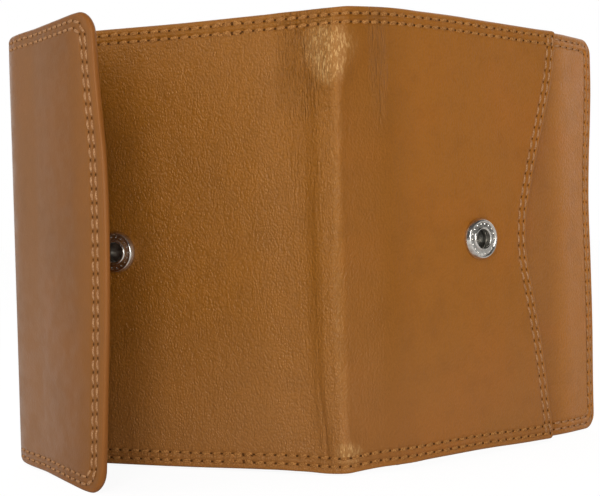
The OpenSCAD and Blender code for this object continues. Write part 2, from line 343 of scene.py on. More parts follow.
class Nodes(Wiring):
    """The nodes of one material, with its Principled shader."""

    def __init__(self, name: str) -> None:
        """Starts a material.

        Args:
            name: The material's name.
        """
        self.material = bpy.data.materials.new(name)
        self.material.use_nodes = True
        super().__init__(self.material.node_tree)
        self.shader = self.tree.nodes["Principled BSDF"]
        self.place = self.add("ShaderNodeTexCoord").outputs["Object"]

    def stretched(self, upright: float) -> Socket:
        """Scales the piece's own coordinates along z, which stretches a pattern upwards."""
        mapping = self.add("ShaderNodeMapping")
        mapping.inputs["Scale"].default_value = (1.0, 1.0, upright)
        self.link(self.place, mapping.inputs["Vector"])
        return mapping.outputs["Vector"]

    def noise(self, scale: float, detail: float = 2.0, rough: float = 0.5,
              place: Socket | None = None) -> Socket:
        """Adds noise.

        Args:
            scale: Lumps per metre.
            detail: Octaves.
            rough: How strong the fine octaves are.
            place: Coordinates, or None for the piece's own.

        Returns:
            The noise's value.
        """
        node = self.add("ShaderNodeTexNoise")
        for key, number in (("Scale", scale), ("Detail", detail), ("Roughness", rough)):
            node.inputs[key].default_value = number
        self.link(place or self.place, node.inputs["Vector"])
        return node.outputs["Fac"]

    def cells(self, scale: float, place: Socket) -> Socket:
        """Adds a pebble pattern and gives the distance from each pebble's middle.

        Args:
            scale: Pebbles per metre.
            place: Coordinates.

        Returns:
            The distance.
        """
        node = self.add("ShaderNodeTexVoronoi", feature="F1")
        node.inputs["Scale"].default_value = scale
        node.inputs["Randomness"].default_value = 0.9
        self.link(place, node.inputs["Vector"])
        return node.outputs["Distance"]

    def mix(self, share: Socket, one: object, other: object) -> Socket:
        """Mixes two colours.

        Args:
            share: Share of the second.
            one: A colour or an output.
            other: A colour or an output.

        Returns:
            The mixed colour.
        """
        node = self.add("ShaderNodeMix", data_type="RGBA")
        self.link(share, node.inputs["Factor"])
        for key, value in (("A", one), ("B", other)):
            self.feed(value, next(s for s in node.inputs if s.name == key and s.type == "RGBA"))
        return next(s for s in node.outputs if s.type == "RGBA")

    def attribute(self, name: str) -> Socket:
        """Gives a value that is stored on the piece's points."""
        return self.add("ShaderNodeAttribute", attribute_name=name).outputs["Fac"]

    def bump(self, height: Socket, strength: float, distance: float) -> Socket:
        """Adds a bump.

        Args:
            height: The height map.
            strength: How strong it is.
            distance: Its real height in millimetres.

        Returns:
            The normal.
        """
        node = self.add("ShaderNodeBump")
        node.inputs["Strength"].default_value = strength
        node.inputs["Distance"].default_value = distance * MM
        self.link(height, node.inputs["Height"])
        return node.outputs["Normal"]

    def set(self, **values: object) -> None:
        """Feeds the shader's sockets, which are named with underscores for spaces."""
        for key, value in values.items():
            self.feed(value, self.shader.inputs[key.replace("_", " ")])


@dataclass(frozen=True)
class Finish:
    """A finish with a name, whose kind wires the material."""

    name: str

    def make(self) -> Material:
        """Builds the material."""
        n = Nodes(self.name)
        self.dress(n)
        return n.material

    def dress(self, n: Nodes) -> None:
        """Wires the material's nodes."""
        raise NotImplementedError


@dataclass(frozen=True)
class Grain:
    """How one stretch of leather looks."""

    base: Colour
    warm: Colour
    dark: Colour
    pebble: float
    creases: float
    gloss: float
    shine: float


@dataclass(frozen=True)
class Leather(Finish):
    """Dyed full-grain leather, whose grain may change from one side of the ridge to the other.

    Places are in millimetres, and the scales of the patterns in lumps per metre. shade is a band of
    painted shade: where along x it starts, is full, is still full and ends, and its amount. foot is
    painted bounce light from the floor, paler towards the bottom. A spot of painted glints, which are
    painted highlights, is x, z and radius, and the line of painted glints is a list of z and x.
    """

    edge: Colour
    grain: Grain
    beyond: Grain | None = None
    change: Pair = (0.0, 1.0)
    folds: bool = False
    tint: Colour = (1.0, 0.7, 0.46, 1.0)
    # shade: a band of painted shade along x
    shade: tuple[float, float, float, float, float] | None = None
    # painted highlights: spots and a line of golden glints, and their colour
    painted_glint_spots: tuple[tuple[float, float, float], ...] = ()
    painted_glint_line: tuple[Pair, ...] = ()
    painted_glint_tone: Colour = tone(236, 190, 124)
    # foot is the share of painted bounce light from the floor, paler towards the bottom
    foot: float = 0.0
    painted_bounce_z: Pair = (45.0, 2.0)
    painted_bounce_tone: Colour = tone(160, 114, 74)
    cell_scale: float = 2050.0
    pore_scale: float = 3895.0
    patch_scale: float = 42.0
    cloud_scale: float = 150.0
    glint_scale: float = 2300.0
    gloss_scale: float = 260.0
    crease_scale: float = 520.0
    fold_scale: float = 1250.0

    def dress(self, n: Nodes) -> None:
        """Wires the colour, the sheen and the grain."""
        x, _, z = n.axes(n.place)
        grain, beyond = self.grain, self.beyond or self.grain
        share = n.ramp(x, self.change[0] * MM, self.change[1] * MM)

        def across(first: float, second: float) -> Socket:
            """Goes from the number of one side of the ridge to that of the other."""
            return n.ramp(share, 0.0, 1.0, first, second)

        upright = n.stretched(0.72)
        pebble = n.cells(self.cell_scale, upright)
        fine = n.noise(self.pore_scale, 2.0, 0.6, upright)
        depth = across(grain.pebble, beyond.pebble)
        pores = n.times(n.ramp(pebble, 0.3, 0.85), n.times(depth, 0.2))
        patches = n.ramp(n.noise(self.patch_scale, 3.0, 0.55), 0.38, 0.68)
        clouds = n.ramp(n.noise(self.cloud_scale, 3.0, 0.6), 0.42, 0.8, 0.0, 0.2)
        dark = n.mix(share, grain.dark, beyond.dark)
        base = n.mix(share, grain.base, beyond.base)
        colour = n.mix(patches, base, n.mix(share, grain.warm, beyond.warm))
        for amount in (clouds, pores):
            colour = n.mix(amount, colour, dark)
        colour = self._painted_glints(n, x, z, self._shaded(n, x, z, colour, dark))
        slow = n.noise(self.crease_scale, 4.0, 0.62, n.stretched(0.3))
        height = n.times(slow, across(grain.creases, beyond.creases))
        if self.folds:
            height = n.plus(height, self._fold_height(n, x, z))
        grains = n.plus(n.times(pebble, -1.0), n.times(fine, 0.5))
        height = n.plus(height, n.times(grains, n.times(depth, 0.55)))
        uneven = n.ramp(n.noise(self.gloss_scale, 3.0), 0.3, 0.7, -0.05, 0.07)
        n.set(Base_Color=colour, Roughness=n.plus(across(grain.gloss, beyond.gloss), uneven),
              Normal=n.bump(height, 1.0, 0.2), Specular_Tint=self.tint,
              Specular_IOR_Level=across(grain.shine, beyond.shine))

    def _shaded(self, n: Nodes, x: Socket, z: Socket, colour: Socket, dark: Socket) -> Socket:
        """Adds the darker band of painted shade, the paler foot of painted bounce light and the colour of
        the edge.

        Args:
            n: The material's nodes.
            x: The piece's x.
            z: The piece's z.
            colour: The colour so far.
            dark: The colour of the band.

        Returns:
            The new colour.
        """
        # painted shade: a darker band along x
        if self.shade:
            rise, full, still, fall, amount = self.shade
            band = n.times(n.ramp(x, rise * MM, full * MM), n.ramp(x, fall * MM, still * MM))
            colour = n.mix(n.times(band, amount), colour, dark)
        # painted bounce light from the floor: paler towards the bottom
        if self.foot:
            low = n.ramp(z, self.painted_bounce_z[0] * MM, self.painted_bounce_z[1] * MM)
            colour = n.mix(n.times(low, self.foot), colour, self.painted_bounce_tone)
        return n.mix(n.times(n.attribute("edge"), 0.6), colour, self.edge)

    def _painted_glints(self, n: Nodes, x: Socket, z: Socket, colour: Socket) -> Socket:
        """Paints fine golden glints on the spots and along the line, which are painted highlights.

        Args:
            n: The material's nodes.
            x: The piece's x.
            z: The piece's z.
            colour: The colour so far.

        Returns:
            The new colour.
        """
        if not self.painted_glint_spots:
            return colour
        total: Socket | float = 0.0
        for at_x, at_z, radius in self.painted_glint_spots:
            sides = [n.times(n.math("SUBTRACT", value, at * MM), 1 / (radius * MM))
                     for value, at in ((x, at_x), (z, at_z))]
            near = n.ramp(n.plus(*(n.times(side, side) for side in sides)), 1.6, 0.0)
            total = n.plus(total, n.times(near, near))
        for at_z, at_x in self.painted_glint_line:
            side, up = (n.math("ABSOLUTE", n.math("SUBTRACT", value, at * MM))
                        for value, at in ((x, at_x), (z, at_z)))
            near = n.times(n.ramp(side, 1.6 * MM, 0.2 * MM), n.ramp(up, 14.0 * MM, 0.0))
            total = n.plus(total, n.times(near, 0.15))
        total = n.math("MINIMUM", total, 1.0)
        glints = n.ramp(n.noise(self.glint_scale, 3.0, 0.65, n.stretched(0.22)), 0.46, 0.66)
        return n.mix(n.times(total, n.ramp(glints, 0.0, 1.0, 0.12, 0.58)), colour, self.painted_glint_tone)

    def _fold_height(self, n: Nodes, x: Socket, z: Socket) -> Socket:
        """Gives fine upright folds along the spine, deeper towards its ends.

        Args:
            n: The material's nodes.
            x: The piece's x.
            z: The piece's z.

        Returns:
            The height.
        """
        near = n.times(n.ramp(x, 0, 8 * MM), n.ramp(x, 20 * MM, 17 * MM))
        band = n.times(n.ramp(x, 25 * MM, 27 * MM), n.ramp(x, 30 * MM, 28 * MM))
        top = n.ramp(z, 58 * MM, 100 * MM, 0.25, 1.0)
        foot = n.ramp(z, 22 * MM, 4 * MM, 0.0, 0.6)
        strong = n.times(n.math("MAXIMUM", top, foot), n.ramp(z, 84 * MM, 98 * MM, 1.0, 1.7))
        zone = n.plus(near, n.times(band, n.ramp(z, 70 * MM, 95 * MM, 0.0, 0.8)))
        lines = n.noise(self.fold_scale, 3.0, 0.6, n.stretched(0.16))
        ridged = n.math("ABSOLUTE", n.math("SUBTRACT", lines, 0.5))
        return n.times(n.times(ridged, -5.0), n.times(zone, strong))


@dataclass(frozen=True)
class TwoTone(Finish):
    """A finish of a base colour and a darker one."""

    base: Colour
    dark: Colour


@dataclass(frozen=True)
class Cloth(TwoTone):
    """Woven lining, with its threads per metre."""

    threads: float = 2600.0

    def dress(self, n: Nodes) -> None:
        """Wires the weave and where it is worn."""
        waves = []
        for direction, share in (("DIAGONAL", 1.2), ("Z", 1.0)):
            wave = n.add("ShaderNodeTexWave", wave_type="BANDS", bands_direction=direction)
            wave.inputs["Scale"].default_value = self.threads * share / 6.3
            wave.inputs["Distortion"].default_value = 0.4
            n.link(n.place, wave.inputs["Vector"])
            waves.append(wave.outputs["Fac"])
        weave = n.times(*waves)
        worn = n.times(n.noise(60.0, 3.0), 0.5)
        n.set(Base_Color=n.mix(n.math("MAXIMUM", weave, worn), self.dark, self.base),
              Normal=n.bump(weave, 0.6, 0.12), Roughness=0.85, Sheen_Weight=0.2)


@dataclass(frozen=True)
class Metal(TwoTone):
    """Plated metal."""

    roughness: float

    def dress(self, n: Nodes) -> None:
        """Wires the plating, dull in patches."""
        worn = n.ramp(n.noise(900.0, 4.0, 0.6), 0.4, 0.75)
        rough = n.ramp(n.noise(1600.0, 3.0), 0.3, 0.7, self.roughness * 0.8, self.roughness * 1.5)
        n.set(Base_Color=n.mix(worn, self.base, self.dark), Roughness=rough, Metallic=1.0,
              Normal=n.bump(n.noise(2400.0, 2.0), 0.15, 0.03))


@dataclass(frozen=True)
class Thread(TwoTone):
    """Twisted sewing thread."""

    def dress(self, n: Nodes) -> None:
        """Wires the plies."""
        plies = n.noise(5200.0, 2.0, 0.5, n.stretched(0.6))
        n.set(Base_Color=n.mix(n.ramp(plies, 0.35, 0.7), self.dark, self.base),
              Normal=n.bump(plies, 0.5, 0.08), Roughness=0.7, Specular_IOR_Level=0.15)


@dataclass(frozen=True)
class HoleShade(TwoTone):
    """A dark dish of painted shade, standing for the inside of a needle hole."""

    def dress(self, n: Nodes) -> None:
        """Wires the uneven dark of the painted shade."""
        n.set(Base_Color=n.mix(n.noise(2500.0), self.dark, self.base), Roughness=0.95,
              Specular_IOR_Level=0.1)


@dataclass(frozen=True)
class Film(Finish):
    """Clear flexible film."""

    def dress(self, n: Nodes) -> None:
        """Wires the waves of the film."""
        n.set(Base_Color=(0.9, 0.92, 0.93, 1.0), Alpha=0.3, IOR=1.45,
              Normal=n.bump(n.noise(70.0, 2.0), 0.25, 0.4),
              Roughness=n.ramp(n.noise(200.0), 0.3, 0.7, 0.08, 0.16))


class Finishes:
    """Every finish of the wallet, made once."""

    def __init__(self) -> None:
        """Makes the materials."""
        pebbled, smoothed, worn, turned, dull = (
            Grain(tone(*base), tone(*warm), tone(*dark), pebble, creases, gloss, shine)
            for base, warm, dark, pebble, creases, gloss, shine in (
                ((148, 92, 28), (152, 94, 26), (112, 68, 16), 1.6, 0.7, 0.35, 0.55),
                ((156, 95, 26), (160, 95, 24), (112, 66, 14), 0.8, 0.3, 0.42, 0.4),
                ((138, 87, 36), (142, 88, 34), (112, 68, 26), 0.28, 0.14, 0.38, 0.8),
                # the flap's grain towards its curled free edge, darker as painted shade
                ((132, 82, 32), (136, 83, 28), (108, 66, 24), 0.28, 0.14, 0.46, 0.35),
                ((134, 88, 42), (140, 90, 42), (92, 56, 22), 0.4, 0.25, 0.6, 0.25)))
        strip = replace(smoothed, base=tone(176, 110, 38), warm=tone(180, 108, 36), gloss=0.38)
        edge = tone(166, 106, 44)
        pale = (1.0, 0.86, 0.7, 1.0)
        self.outer = Leather(
            # foot paints bounce light from the floor: paler towards the bottom
            "outer_leather", edge, pebbled, smoothed, (17.0, 21.0), folds=True, foot=0.24,
            # painted shade: a darker band on the facet beyond the ridge
            shade=(18.6, 20.2, 26.0, 36.0, 0.42),
            # painted highlights: golden glints near the top and foot of the ridge and along it
            painted_glint_spots=((16.9, 101.8, 7.0), (17.4, 96.5, 4.2), (19.6, 5.0, 3.2)),
            painted_glint_line=((88.0, 19.0), (74.0, 18.4), (60.0, 18.2), (46.0, 17.9), (32.0, 17.9),
                       (18.0, 18.7))).make()
        # The flap's grain darkens towards its curled free edge as painted shade; its edge colour, the real edge
        # dye, is toned darker as painted shade too.
        self.flap = Leather("flap_leather", tone(148, 86, 30), worn, turned, (-62.0, -34.0),
                            tint=pale).make()
        self.strip = Leather("strip_leather", edge, strip, tint=pale,
                             # painted shadow: a darker band beside the pocket mouth
                             shade=(50.0, 52.0, 59.0, 65.0, 0.4)).make()
        self.strap = Leather("strap_leather", edge, worn, tint=pale).make()
        self.inner = Leather("inner_leather", tone(150, 100, 52), dull, tint=pale).make()
        self.cloth = Cloth("lining_cloth", tone(112, 82, 54), tone(70, 48, 30)).make()
        self.thread = Thread("thread", tone(192, 134, 72), tone(128, 80, 34)).make()
        self.pale_thread = Thread("pale_thread", tone(188, 142, 100), tone(144, 98, 60)).make()
        # painted shade: the dark inside of the needle holes
        self.hole = HoleShade("needle_hole_shade", tone(98, 60, 26), tone(70, 41, 16)).make()
        self.chrome = Metal("polished_nickel", tone(226, 222, 214), tone(196, 188, 178),
                            0.16).make()
        self.steel = Metal("dull_nickel", tone(120, 118, 112), tone(84, 80, 74), 0.34).make()
        self.film = Film("clear_film").make()


class SheetLine:
    """The line in plan that the front of a sheet follows.

    s runs along it, and depth runs to the left of its heading, into the sheet.
    """

    step = 0.05

    def __init__(self, start: Sequence[float], heading: float, legs: Sequence[Pair],
                 s_start: float = 0.0, soften: float = 0.0) -> None:
        """Runs along straight legs, bends and kinks.

        Args:
            start: Where the line starts in plan, in millimetres.
            heading: Its first direction in degrees.
            legs: Length of each leg and the turn made evenly along it, in degrees.
            s_start: Value of s at the start.
            soften: Half length over which kinks are rounded.
        """
        step = self.step
        turns = [(0.0, heading)]
        for length, turn in legs:
            far, angle = turns[-1]
            turns.append((far + max(length, 1e-6), angle + turn))
        far = np.array([t[0] for t in turns])
        along = np.arange(0, far[-1] + step, step)
        angles = np.interp(along, far, [t[1] for t in turns])
        if soften:
            half = int(soften / step)
            padded = np.pad(angles, half, mode="edge")
            angles = np.convolve(padded, np.ones(2 * half + 1) / (2 * half + 1), mode="valid")
        radians = np.radians(angles)
        self.s = s_start + along
        self.x = start[0] + np.concatenate([[0], np.cumsum(np.cos(radians[:-1]) * step)])
        self.y = start[1] + np.concatenate([[0], np.cumsum(np.sin(radians[:-1]) * step)])
        self.angle = radians

    def settle(self, s: float, x: float, y: float) -> None:
        """Shifts the line beyond its kinks so that it passes through a point.

        Args:
            s: Where on the line the point belongs.
            x: The point's x.
            y: The point's y.
        """
        gap_x, gap_y = x - np.interp(s, self.s, self.x), y - np.interp(s, self.s, self.y)
        share = smooth(self.s, 0, s)
        self.x, self.y = self.x + gap_x * share, self.y + gap_y * share

    def place(self, s: Floats, z: Floats, depth: Floats) -> Floats:
        """Places points of the sheet.

        Args:
            s: Distances along the line.
            z: Heights.
            depth: Depths behind the line.

        Returns:
            An array of x, y and z in millimetres.
        """
        angle = np.interp(s, self.s, self.angle)
        x = np.interp(s, self.s, self.x) - depth * np.sin(angle)
        y = np.interp(s, self.s, self.y) + depth * np.cos(angle)
        return np.stack([x, y, np.broadcast_to(z, np.shape(x))], axis=-1)

    def outward(self, s: float, z: float) -> Vector:
        """Gives the direction that the front faces at s, which is the same at every z."""
        angle = float(np.interp(s, self.s, self.angle))
        return Vector((math.sin(angle), -math.cos(angle), 0.0))

    def stretch(self, before: Sequence[float], after: Sequence[float]) -> None:
        """Gives stretches of the line other values of s.

        Args:
            before: Values of s, rising.
            after: The values that they get.
        """
        self.s = np.interp(self.s, before, after)


class SpineLine:
    """The line of the outer face over the spine, whose ridge wanders with height.

    The flank's numbers are its turns in degrees: at the dip, up to the crease and up to the ridge.
    """

    dip_s = -3.2
    flank = (-10.0, 4.0, 14.0)
    half_ridge = 1.2
    fall_turn = 3.0
    fall_aim = 2.0
    crease_reach = 3.0
    settled_s = 30.0
    steps = np.arange(3.0, 8.6, 0.5)
    ridge = staticmethod(curve((
        (0, 6.3), (9, 5.6), (15, 4.7), (23, 3.8), (33, 3.6), (48, 3.3), (60, 4.5), (75, 5.0),
        (83, 5.3), (89, 5.9), (95, 7.0), (110, 7.9))))

    def __init__(self, lead: float, tail: float) -> None:
        """Lays one line for each step of the ridge.

        Args:
            lead: Length before the left crease.
            tail: Length after the right crease.
        """
        self.lines = [self._line(float(ridge), lead, tail) for ridge in self.steps]
        self.s = self.lines[0].s

    def _line(self, ridge: float, lead: float, tail: float) -> SheetLine:
        """Lays one line.

        Args:
            ridge: Distance of the ridge from the left crease.
            lead: Length before the left crease.
            tail: Length after the right crease.

        Returns:
            The line, which passes through the right crease.
        """
        kink, first, second = self.flank
        start = (CREASE_A[0] - lead, CREASE_A[1])
        best: tuple[float, list[Pair], float] | None = None
        for heading in np.arange(24.0, 60.0, 0.5):
            legs = [(lead + self.dip_s, 0.0), (0.0, kink), (-self.dip_s, first),
                    (ridge - self.half_ridge, second),
                    (2 * self.half_ridge, heading - kink - first - second)]
            trial = SheetLine(start, 0.0, [*legs, (1.5, 0.0)], s_start=-lead, soften=1.0)
            at = ridge + self.half_ridge
            gap = (CREASE_B[0] - np.interp(at, trial.s, trial.x),
                   CREASE_B[1] - np.interp(at, trial.s, trial.y))
            miss = abs(math.degrees(math.atan2(gap[1], gap[0])) - heading - self.fall_aim)
            if best is None or miss < best[0]:
                end = [(math.hypot(*gap) - self.crease_reach, self.fall_turn),
                       (2 * self.crease_reach, OPEN_TURN - heading - self.fall_turn), (tail, 0.0)]
                best = (miss, [*legs, *end], at + math.hypot(*gap))
        line = SheetLine(start, 0.0, best[1], s_start=-lead, soften=1.0)
        line.stretch((-lead, 0.0, best[2], best[2] + tail),
                     (-lead, 0.0, SPINE_LENGTH, SPINE_LENGTH + tail))
        far, heading = self.settled_s, math.radians(OPEN_TURN)
        line.settle(SPINE_LENGTH + far, CREASE_B[0] + far * math.cos(heading),
                    CREASE_B[1] + far * math.sin(heading))
        return line

    def _share(self, z: Floats) -> Floats:
        """Gives the place of height z among the lines, counted in lines."""
        step = self.steps[1] - self.steps[0]
        return np.clip((self.ridge(z) - self.steps[0]) / step, 0, len(self.steps) - 1)

    def place(self, s: Floats, z: Floats, depth: Floats) -> Floats:
        """Places points of the sheet.

        Args:
            s: Distances along the line.
            z: Heights.
            depth: Depths behind the line.

        Returns:
            An array of x, y and z in millimetres.
        """
        share = self._share(np.broadcast_to(z, np.shape(s)))
        points = np.zeros((*np.shape(s), 3))
        for k, line in enumerate(self.lines):
            weight = np.maximum(0, 1 - np.abs(share - k))
            points += weight[..., None] * line.place(s, z, depth)
        return points

    def outward(self, s: float, z: float) -> Vector:
        """Gives the direction that the front faces at s and z."""
        return self.lines[int(round(float(self._share(np.array(z)))))].outward(s, z)


@contextmanager
def editing() -> Iterator[None]:
    """Opens the active piece for editing, with all of it selected."""
    bpy.ops.object.mode_set(mode="EDIT")
    bpy.ops.mesh.select_all(action="SELECT")
    yield
    bpy.ops.object.mode_set(mode="OBJECT")


def select_only(piece: Piece) -> None:
    """Selects one piece alone and makes it the active one."""
    bpy.ops.object.select_all(action="DESELECT")
    piece.select_set(True)
    bpy.context.view_layer.objects.active = piece


def no_relief(s: Floats, z: Floats) -> Floats:
    """Gives a flat surface."""
    return np.zeros(np.broadcast(s, z).shape)


def constant(value: float) -> Curve:
    """Gives a function with one value everywhere."""
    return lambda z: np.full(np.shape(z), float(value))


@dataclass
class Sheet:
    """A sheet of leather or lining with rounded edges, laid along a line in plan.

    Two-part fields are for its start and its end. relief rises from the shown side, sink pushes the
    whole sheet deeper, lift raises it and draw_in brings its long edges nearer to each other.
    """

    name: str
    line: SheetLine | SpineLine
    start: Curve
    end: Curve
    thick: Curve
    low: float = 0.0
    high: float = HEIGHT
    depth: float = 0.0
    corner: Pair = (0.0, 0.0)
    edges: tuple[Edge, Edge] = (Edge.ROLLED, Edge.ROLLED)
    relief: Relief = no_relief
    lift: Relief = no_relief
    draw_in: Curve = constant(0.0)
    sink: Relief = no_relief
    inner: bool = False
    pits: list[Pair] = field(default_factory=list)
    pit_depth: float = 0.2
    pit_reach: float = 0.6
    spacing: Callable[[float], float] = lambda s: 1.0
    row_spacing: float = 1.0
    fine_margin: float = 5.5
    fine_step: float = 0.34
    fade: float = 1.2
    worn_reach: float = 1.6

    def _rim(self, s: float) -> list[float]:
        """Lists distances from the rolled edge at s at which the sheet has a line of points."""
        radius = float(self.thick(np.array([s]))[0]) / 2
        turns = [radius * (1 - math.sin(math.radians(a))) for a in (90, 74, 58, 42, 26, 12, 0)]
        count = int((self.fine_margin - radius) / self.fine_step)
        return turns + [radius + self.fine_step * (i + 1) for i in range(max(count, 0))]

    def _distance(self, s: Floats, z: Floats, first: Floats, last: Floats) -> Floats:
        """Gives each point's distance from the nearest rolled edge."""
        from_low, from_high = z - self.low - self.draw_in(s), self.high - self.draw_in(s) - z
        result = np.minimum(from_low, from_high)
        for along, radius, edge in zip((s - first, last - s), self.corner, self.edges):
            if edge is Edge.CUT:
                continue
            result = np.minimum(result, along)
            if radius:
                for up in (from_low, from_high):
                    inside = (along < radius) & (up < radius)
                    round_off = radius - np.hypot(radius - along, radius - up)
                    result = np.where(inside, np.minimum(result, round_off), result)
        return np.maximum(result, 0.0)

    def _columns(self) -> tuple[list[float], list[float], list[float]]:
        """Lists the distances near the start, the shares between, and those near the end."""
        middle = np.array([HEIGHT / 2])
        first, last = float(self.start(middle)[0]), float(self.end(middle)[0])
        cut = [0.0, 0.12, 0.3, 0.6]
        ends = [self._rim(s) if edge is Edge.ROLLED else cut
                for edge, s in zip(self.edges, (first, last))]
        places = [first + ends[0][-1]]
        stop = last - ends[1][-1]
        while places[-1] < stop:
            places.append(places[-1] + self.spacing(places[-1]))
        inner = (np.array(places) - places[0]) / (places[-1] - places[0])
        return ends[0], list(inner[1:-1]), ends[1]

    def grid(self) -> tuple[Floats, Floats, Floats, Floats]:
        """Lays out the sheet's points.

        Returns:
            s, z, distance from the edge and a cap flag, each by row and column.
        """
        lead, inner, tail = self._columns()
        rim = self._rim(self.line.s.mean())
        span = self.high - self.low - 2 * rim[-1]
        count = max(int(span / self.row_spacing), 2)
        shares = [i / count for i in range(1, count)]
        nominal = np.array(
            [self.low + d for d in rim]
            + [self.low + rim[-1] + span * f for f in shares]
            + [self.high - d for d in reversed(rim)])
        first, last = self.start(nominal)[:, None], self.end(nominal)[:, None]
        near, far = first + lead[-1], last - tail[-1]
        parts = [first + np.array(lead)[None], near + (far - near) * np.array(inner)[None],
                 last - np.array(tail[::-1])[None]]
        caps = [np.zeros(part.shape[1]) for part in parts]
        s = np.concatenate([np.broadcast_to(p, (len(nominal), p.shape[1])) for p in parts], axis=1)
        cap = np.concatenate(caps)
        if self.edges[0] is Edge.CUT:
            s, cap = np.concatenate([s[:, :1], s], axis=1), np.concatenate([[1], cap])
        if self.edges[1] is Edge.CUT:
            s, cap = np.concatenate([s, s[:, -1:]], axis=1), np.concatenate([cap, [1]])
        low, high = self.low + self.draw_in(s), self.high - self.draw_in(s)
        for along, radius in ((s - first, self.corner[0]), (last - s, self.corner[1])):
            if radius:
                reach = np.maximum(radius - along, 0)
                inset = radius - np.sqrt(np.maximum(radius ** 2 - reach ** 2, 0))
                low, high = low + inset, high - inset
        rows = len(rim)
        z = np.empty(s.shape)
        z[:rows] = low[:rows] + np.array(rim)[:, None]
        z[-rows:] = high[-rows:] - np.array(rim[::-1])[:, None]
        inner_low, inner_high = low[rows:-rows] + rim[-1], high[rows:-rows] - rim[-1]
        z[rows:-rows] = inner_low + (inner_high - inner_low) * np.array(shares)[:, None]
        distance = self._distance(s, z, first, last)
        return s, z, distance, np.broadcast_to(cap, s.shape)

    def surface(self, s: Floats, z: Floats) -> Floats:
        """Gives points on the shown side with its relief.

        Args:
            s: Distances along the line.
            z: Heights.

        Returns:
            Points in millimetres.
        """
        d = self._distance(s, z, self.start(z), self.end(z))
        dip, height = self._dip(s, d), self._height(s, z, d)
        depth = self.thick(s) - dip + height if self.inner else dip - height
        points = self.line.place(s, z, self.depth + self.sink(s, z) + depth)
        points[..., 2] += self.lift(s, z)
        return points

    def outward(self, s: float, z: float) -> Floats:
        """Gives the direction that the sheet's shown side faces at s and z."""
        out = np.array(self.line.outward(s, z))
        return -out if self.inner else out

    def _dip(self, s: Floats, distance: Floats) -> Floats:
        """Gives how deep the rounded edge lies below the front."""
        radius = self.thick(s) / 2
        reach = np.clip(radius - distance, 0, radius)
        return radius - np.sqrt(np.maximum(radius ** 2 - reach ** 2, 0))

    def _height(self, s: Floats, z: Floats, distance: Floats) -> Floats:
        """Gives the relief, faded out at the edges."""
        return self.relief(s, z) * smooth(distance, 0.0, self.fade)

    def _pitted(self, s: Floats, z: Floats) -> Floats:
        """Gives how deep the stitches pull the sheet in."""
        if not self.pits:
            return np.zeros(np.shape(s))
        tree = KDTree(len(self.pits))
        for k, (at_s, at_z) in enumerate(self.pits):
            tree.insert((at_s, at_z, 0), k)
        tree.balance()
        places = zip(np.ravel(s), np.ravel(z))
        far = np.array([tree.find((a, b, 0))[2] for a, b in places]).reshape(np.shape(s))
        return self.pit_depth * hump(far, 0, self.pit_reach)

    def build(self, material: Material, slot: Slot,
              holes: Sequence[tuple[float, float, float]] = ()) -> Piece:
        """Models the sheet from two grids that meet at its edges.

        Args:
            material: The sheet's finish.
            slot: The record's slot.
            holes: s, z and radius of each hole for a snap.

        Returns:
            The sheet.
        """
        s, z, distance, cap = self.grid()
        rows, columns = s.shape
        thick = self.thick(s)
        dip = self._dip(s, distance)
        height = (self._height(s, z, distance) - self._pitted(s, z)) * (1 - cap)
        if self.inner:
            front, back = dip + np.minimum(height, 0), thick - dip + height
        else:
            front, back = dip - height, thick - dip - np.minimum(height, 0)
        depth = self.depth + self.sink(s, z)
        front, back, middle = depth + front, depth + back, depth + thick / 2
        front, back = np.where(cap > 0, middle, front), np.where(cap > 0, middle, back)
        sides = [self.line.place(s, z, depth) for depth in (front, back)]
        bpy.ops.mesh.primitive_grid_add(x_subdivisions=columns - 1, y_subdivisions=rows - 1, size=2)
        piece = bpy.context.object
        piece.name = piece.data.name = self.name
        count = len(piece.data.vertices)
        spots = np.empty(count * 3)
        piece.data.vertices.foreach_get("co", spots)
        spots = spots.reshape(-1, 3)
        column = np.rint((spots[:, 0] + 1) / 2 * (columns - 1)).astype(int)
        row = np.rint((spots[:, 1] + 1) / 2 * (rows - 1)).astype(int)
        with editing():
            bpy.ops.mesh.duplicate()
        points = np.concatenate([side[row, column] for side in sides])
        points[:, 2] += np.tile(self.lift(s, z)[row, column], 2)
        piece.data.vertices.foreach_set("co", (points * MM).ravel())
        edge = piece.data.attributes.new("edge", "FLOAT", "POINT")
        worn = np.tile(np.clip(1 - distance[row, column] / self.worn_reach, 0, 1), 2)
        edge.data.foreach_set("value", worn.astype(np.float32))
        self._cut(piece, np.tile(s[row, column], 2), np.tile(z[row, column], 2), holes)
        finish(piece, material, slot)
        return piece

    @staticmethod
    def _cut(piece: Piece, s: Floats, z: Floats,
             holes: Sequence[tuple[float, float, float]]) -> None:
        """Joins the two sides, opens the holes and turns every face outwards."""
        bpy.ops.object.mode_set(mode="EDIT")
        bpy.ops.mesh.select_mode(type="VERT")
        bpy.ops.mesh.select_all(action="DESELECT")
        bpy.ops.object.mode_set(mode="OBJECT")
        centres = np.zeros(len(piece.data.vertices), bool)
        for at_s, at_z, radius in holes:
            centres |= np.hypot(s - at_s, z - at_z) < radius
        piece.data.vertices.foreach_set("select", centres)
        bpy.ops.object.mode_set(mode="EDIT")
        if holes:
            bpy.ops.mesh.delete(type="VERT")
        bpy.ops.mesh.select_all(action="SELECT")
        bpy.ops.mesh.remove_doubles(threshold=2e-6)
        if holes:
            bpy.ops.mesh.select_all(action="DESELECT")
            bpy.ops.mesh.select_non_manifold(extend=False, use_wire=False, use_boundary=True,
                                             use_multi_face=False, use_non_contiguous=False,
                                             use_verts=False)
            bpy.ops.mesh.bridge_edge_loops()
        bpy.ops.mesh.select_all(action="SELECT")
        bpy.ops.mesh.normals_make_consistent(inside=False)
        bpy.ops.mesh.select_all(action="DESELECT")
        bpy.ops.object.mode_set(mode="OBJECT")


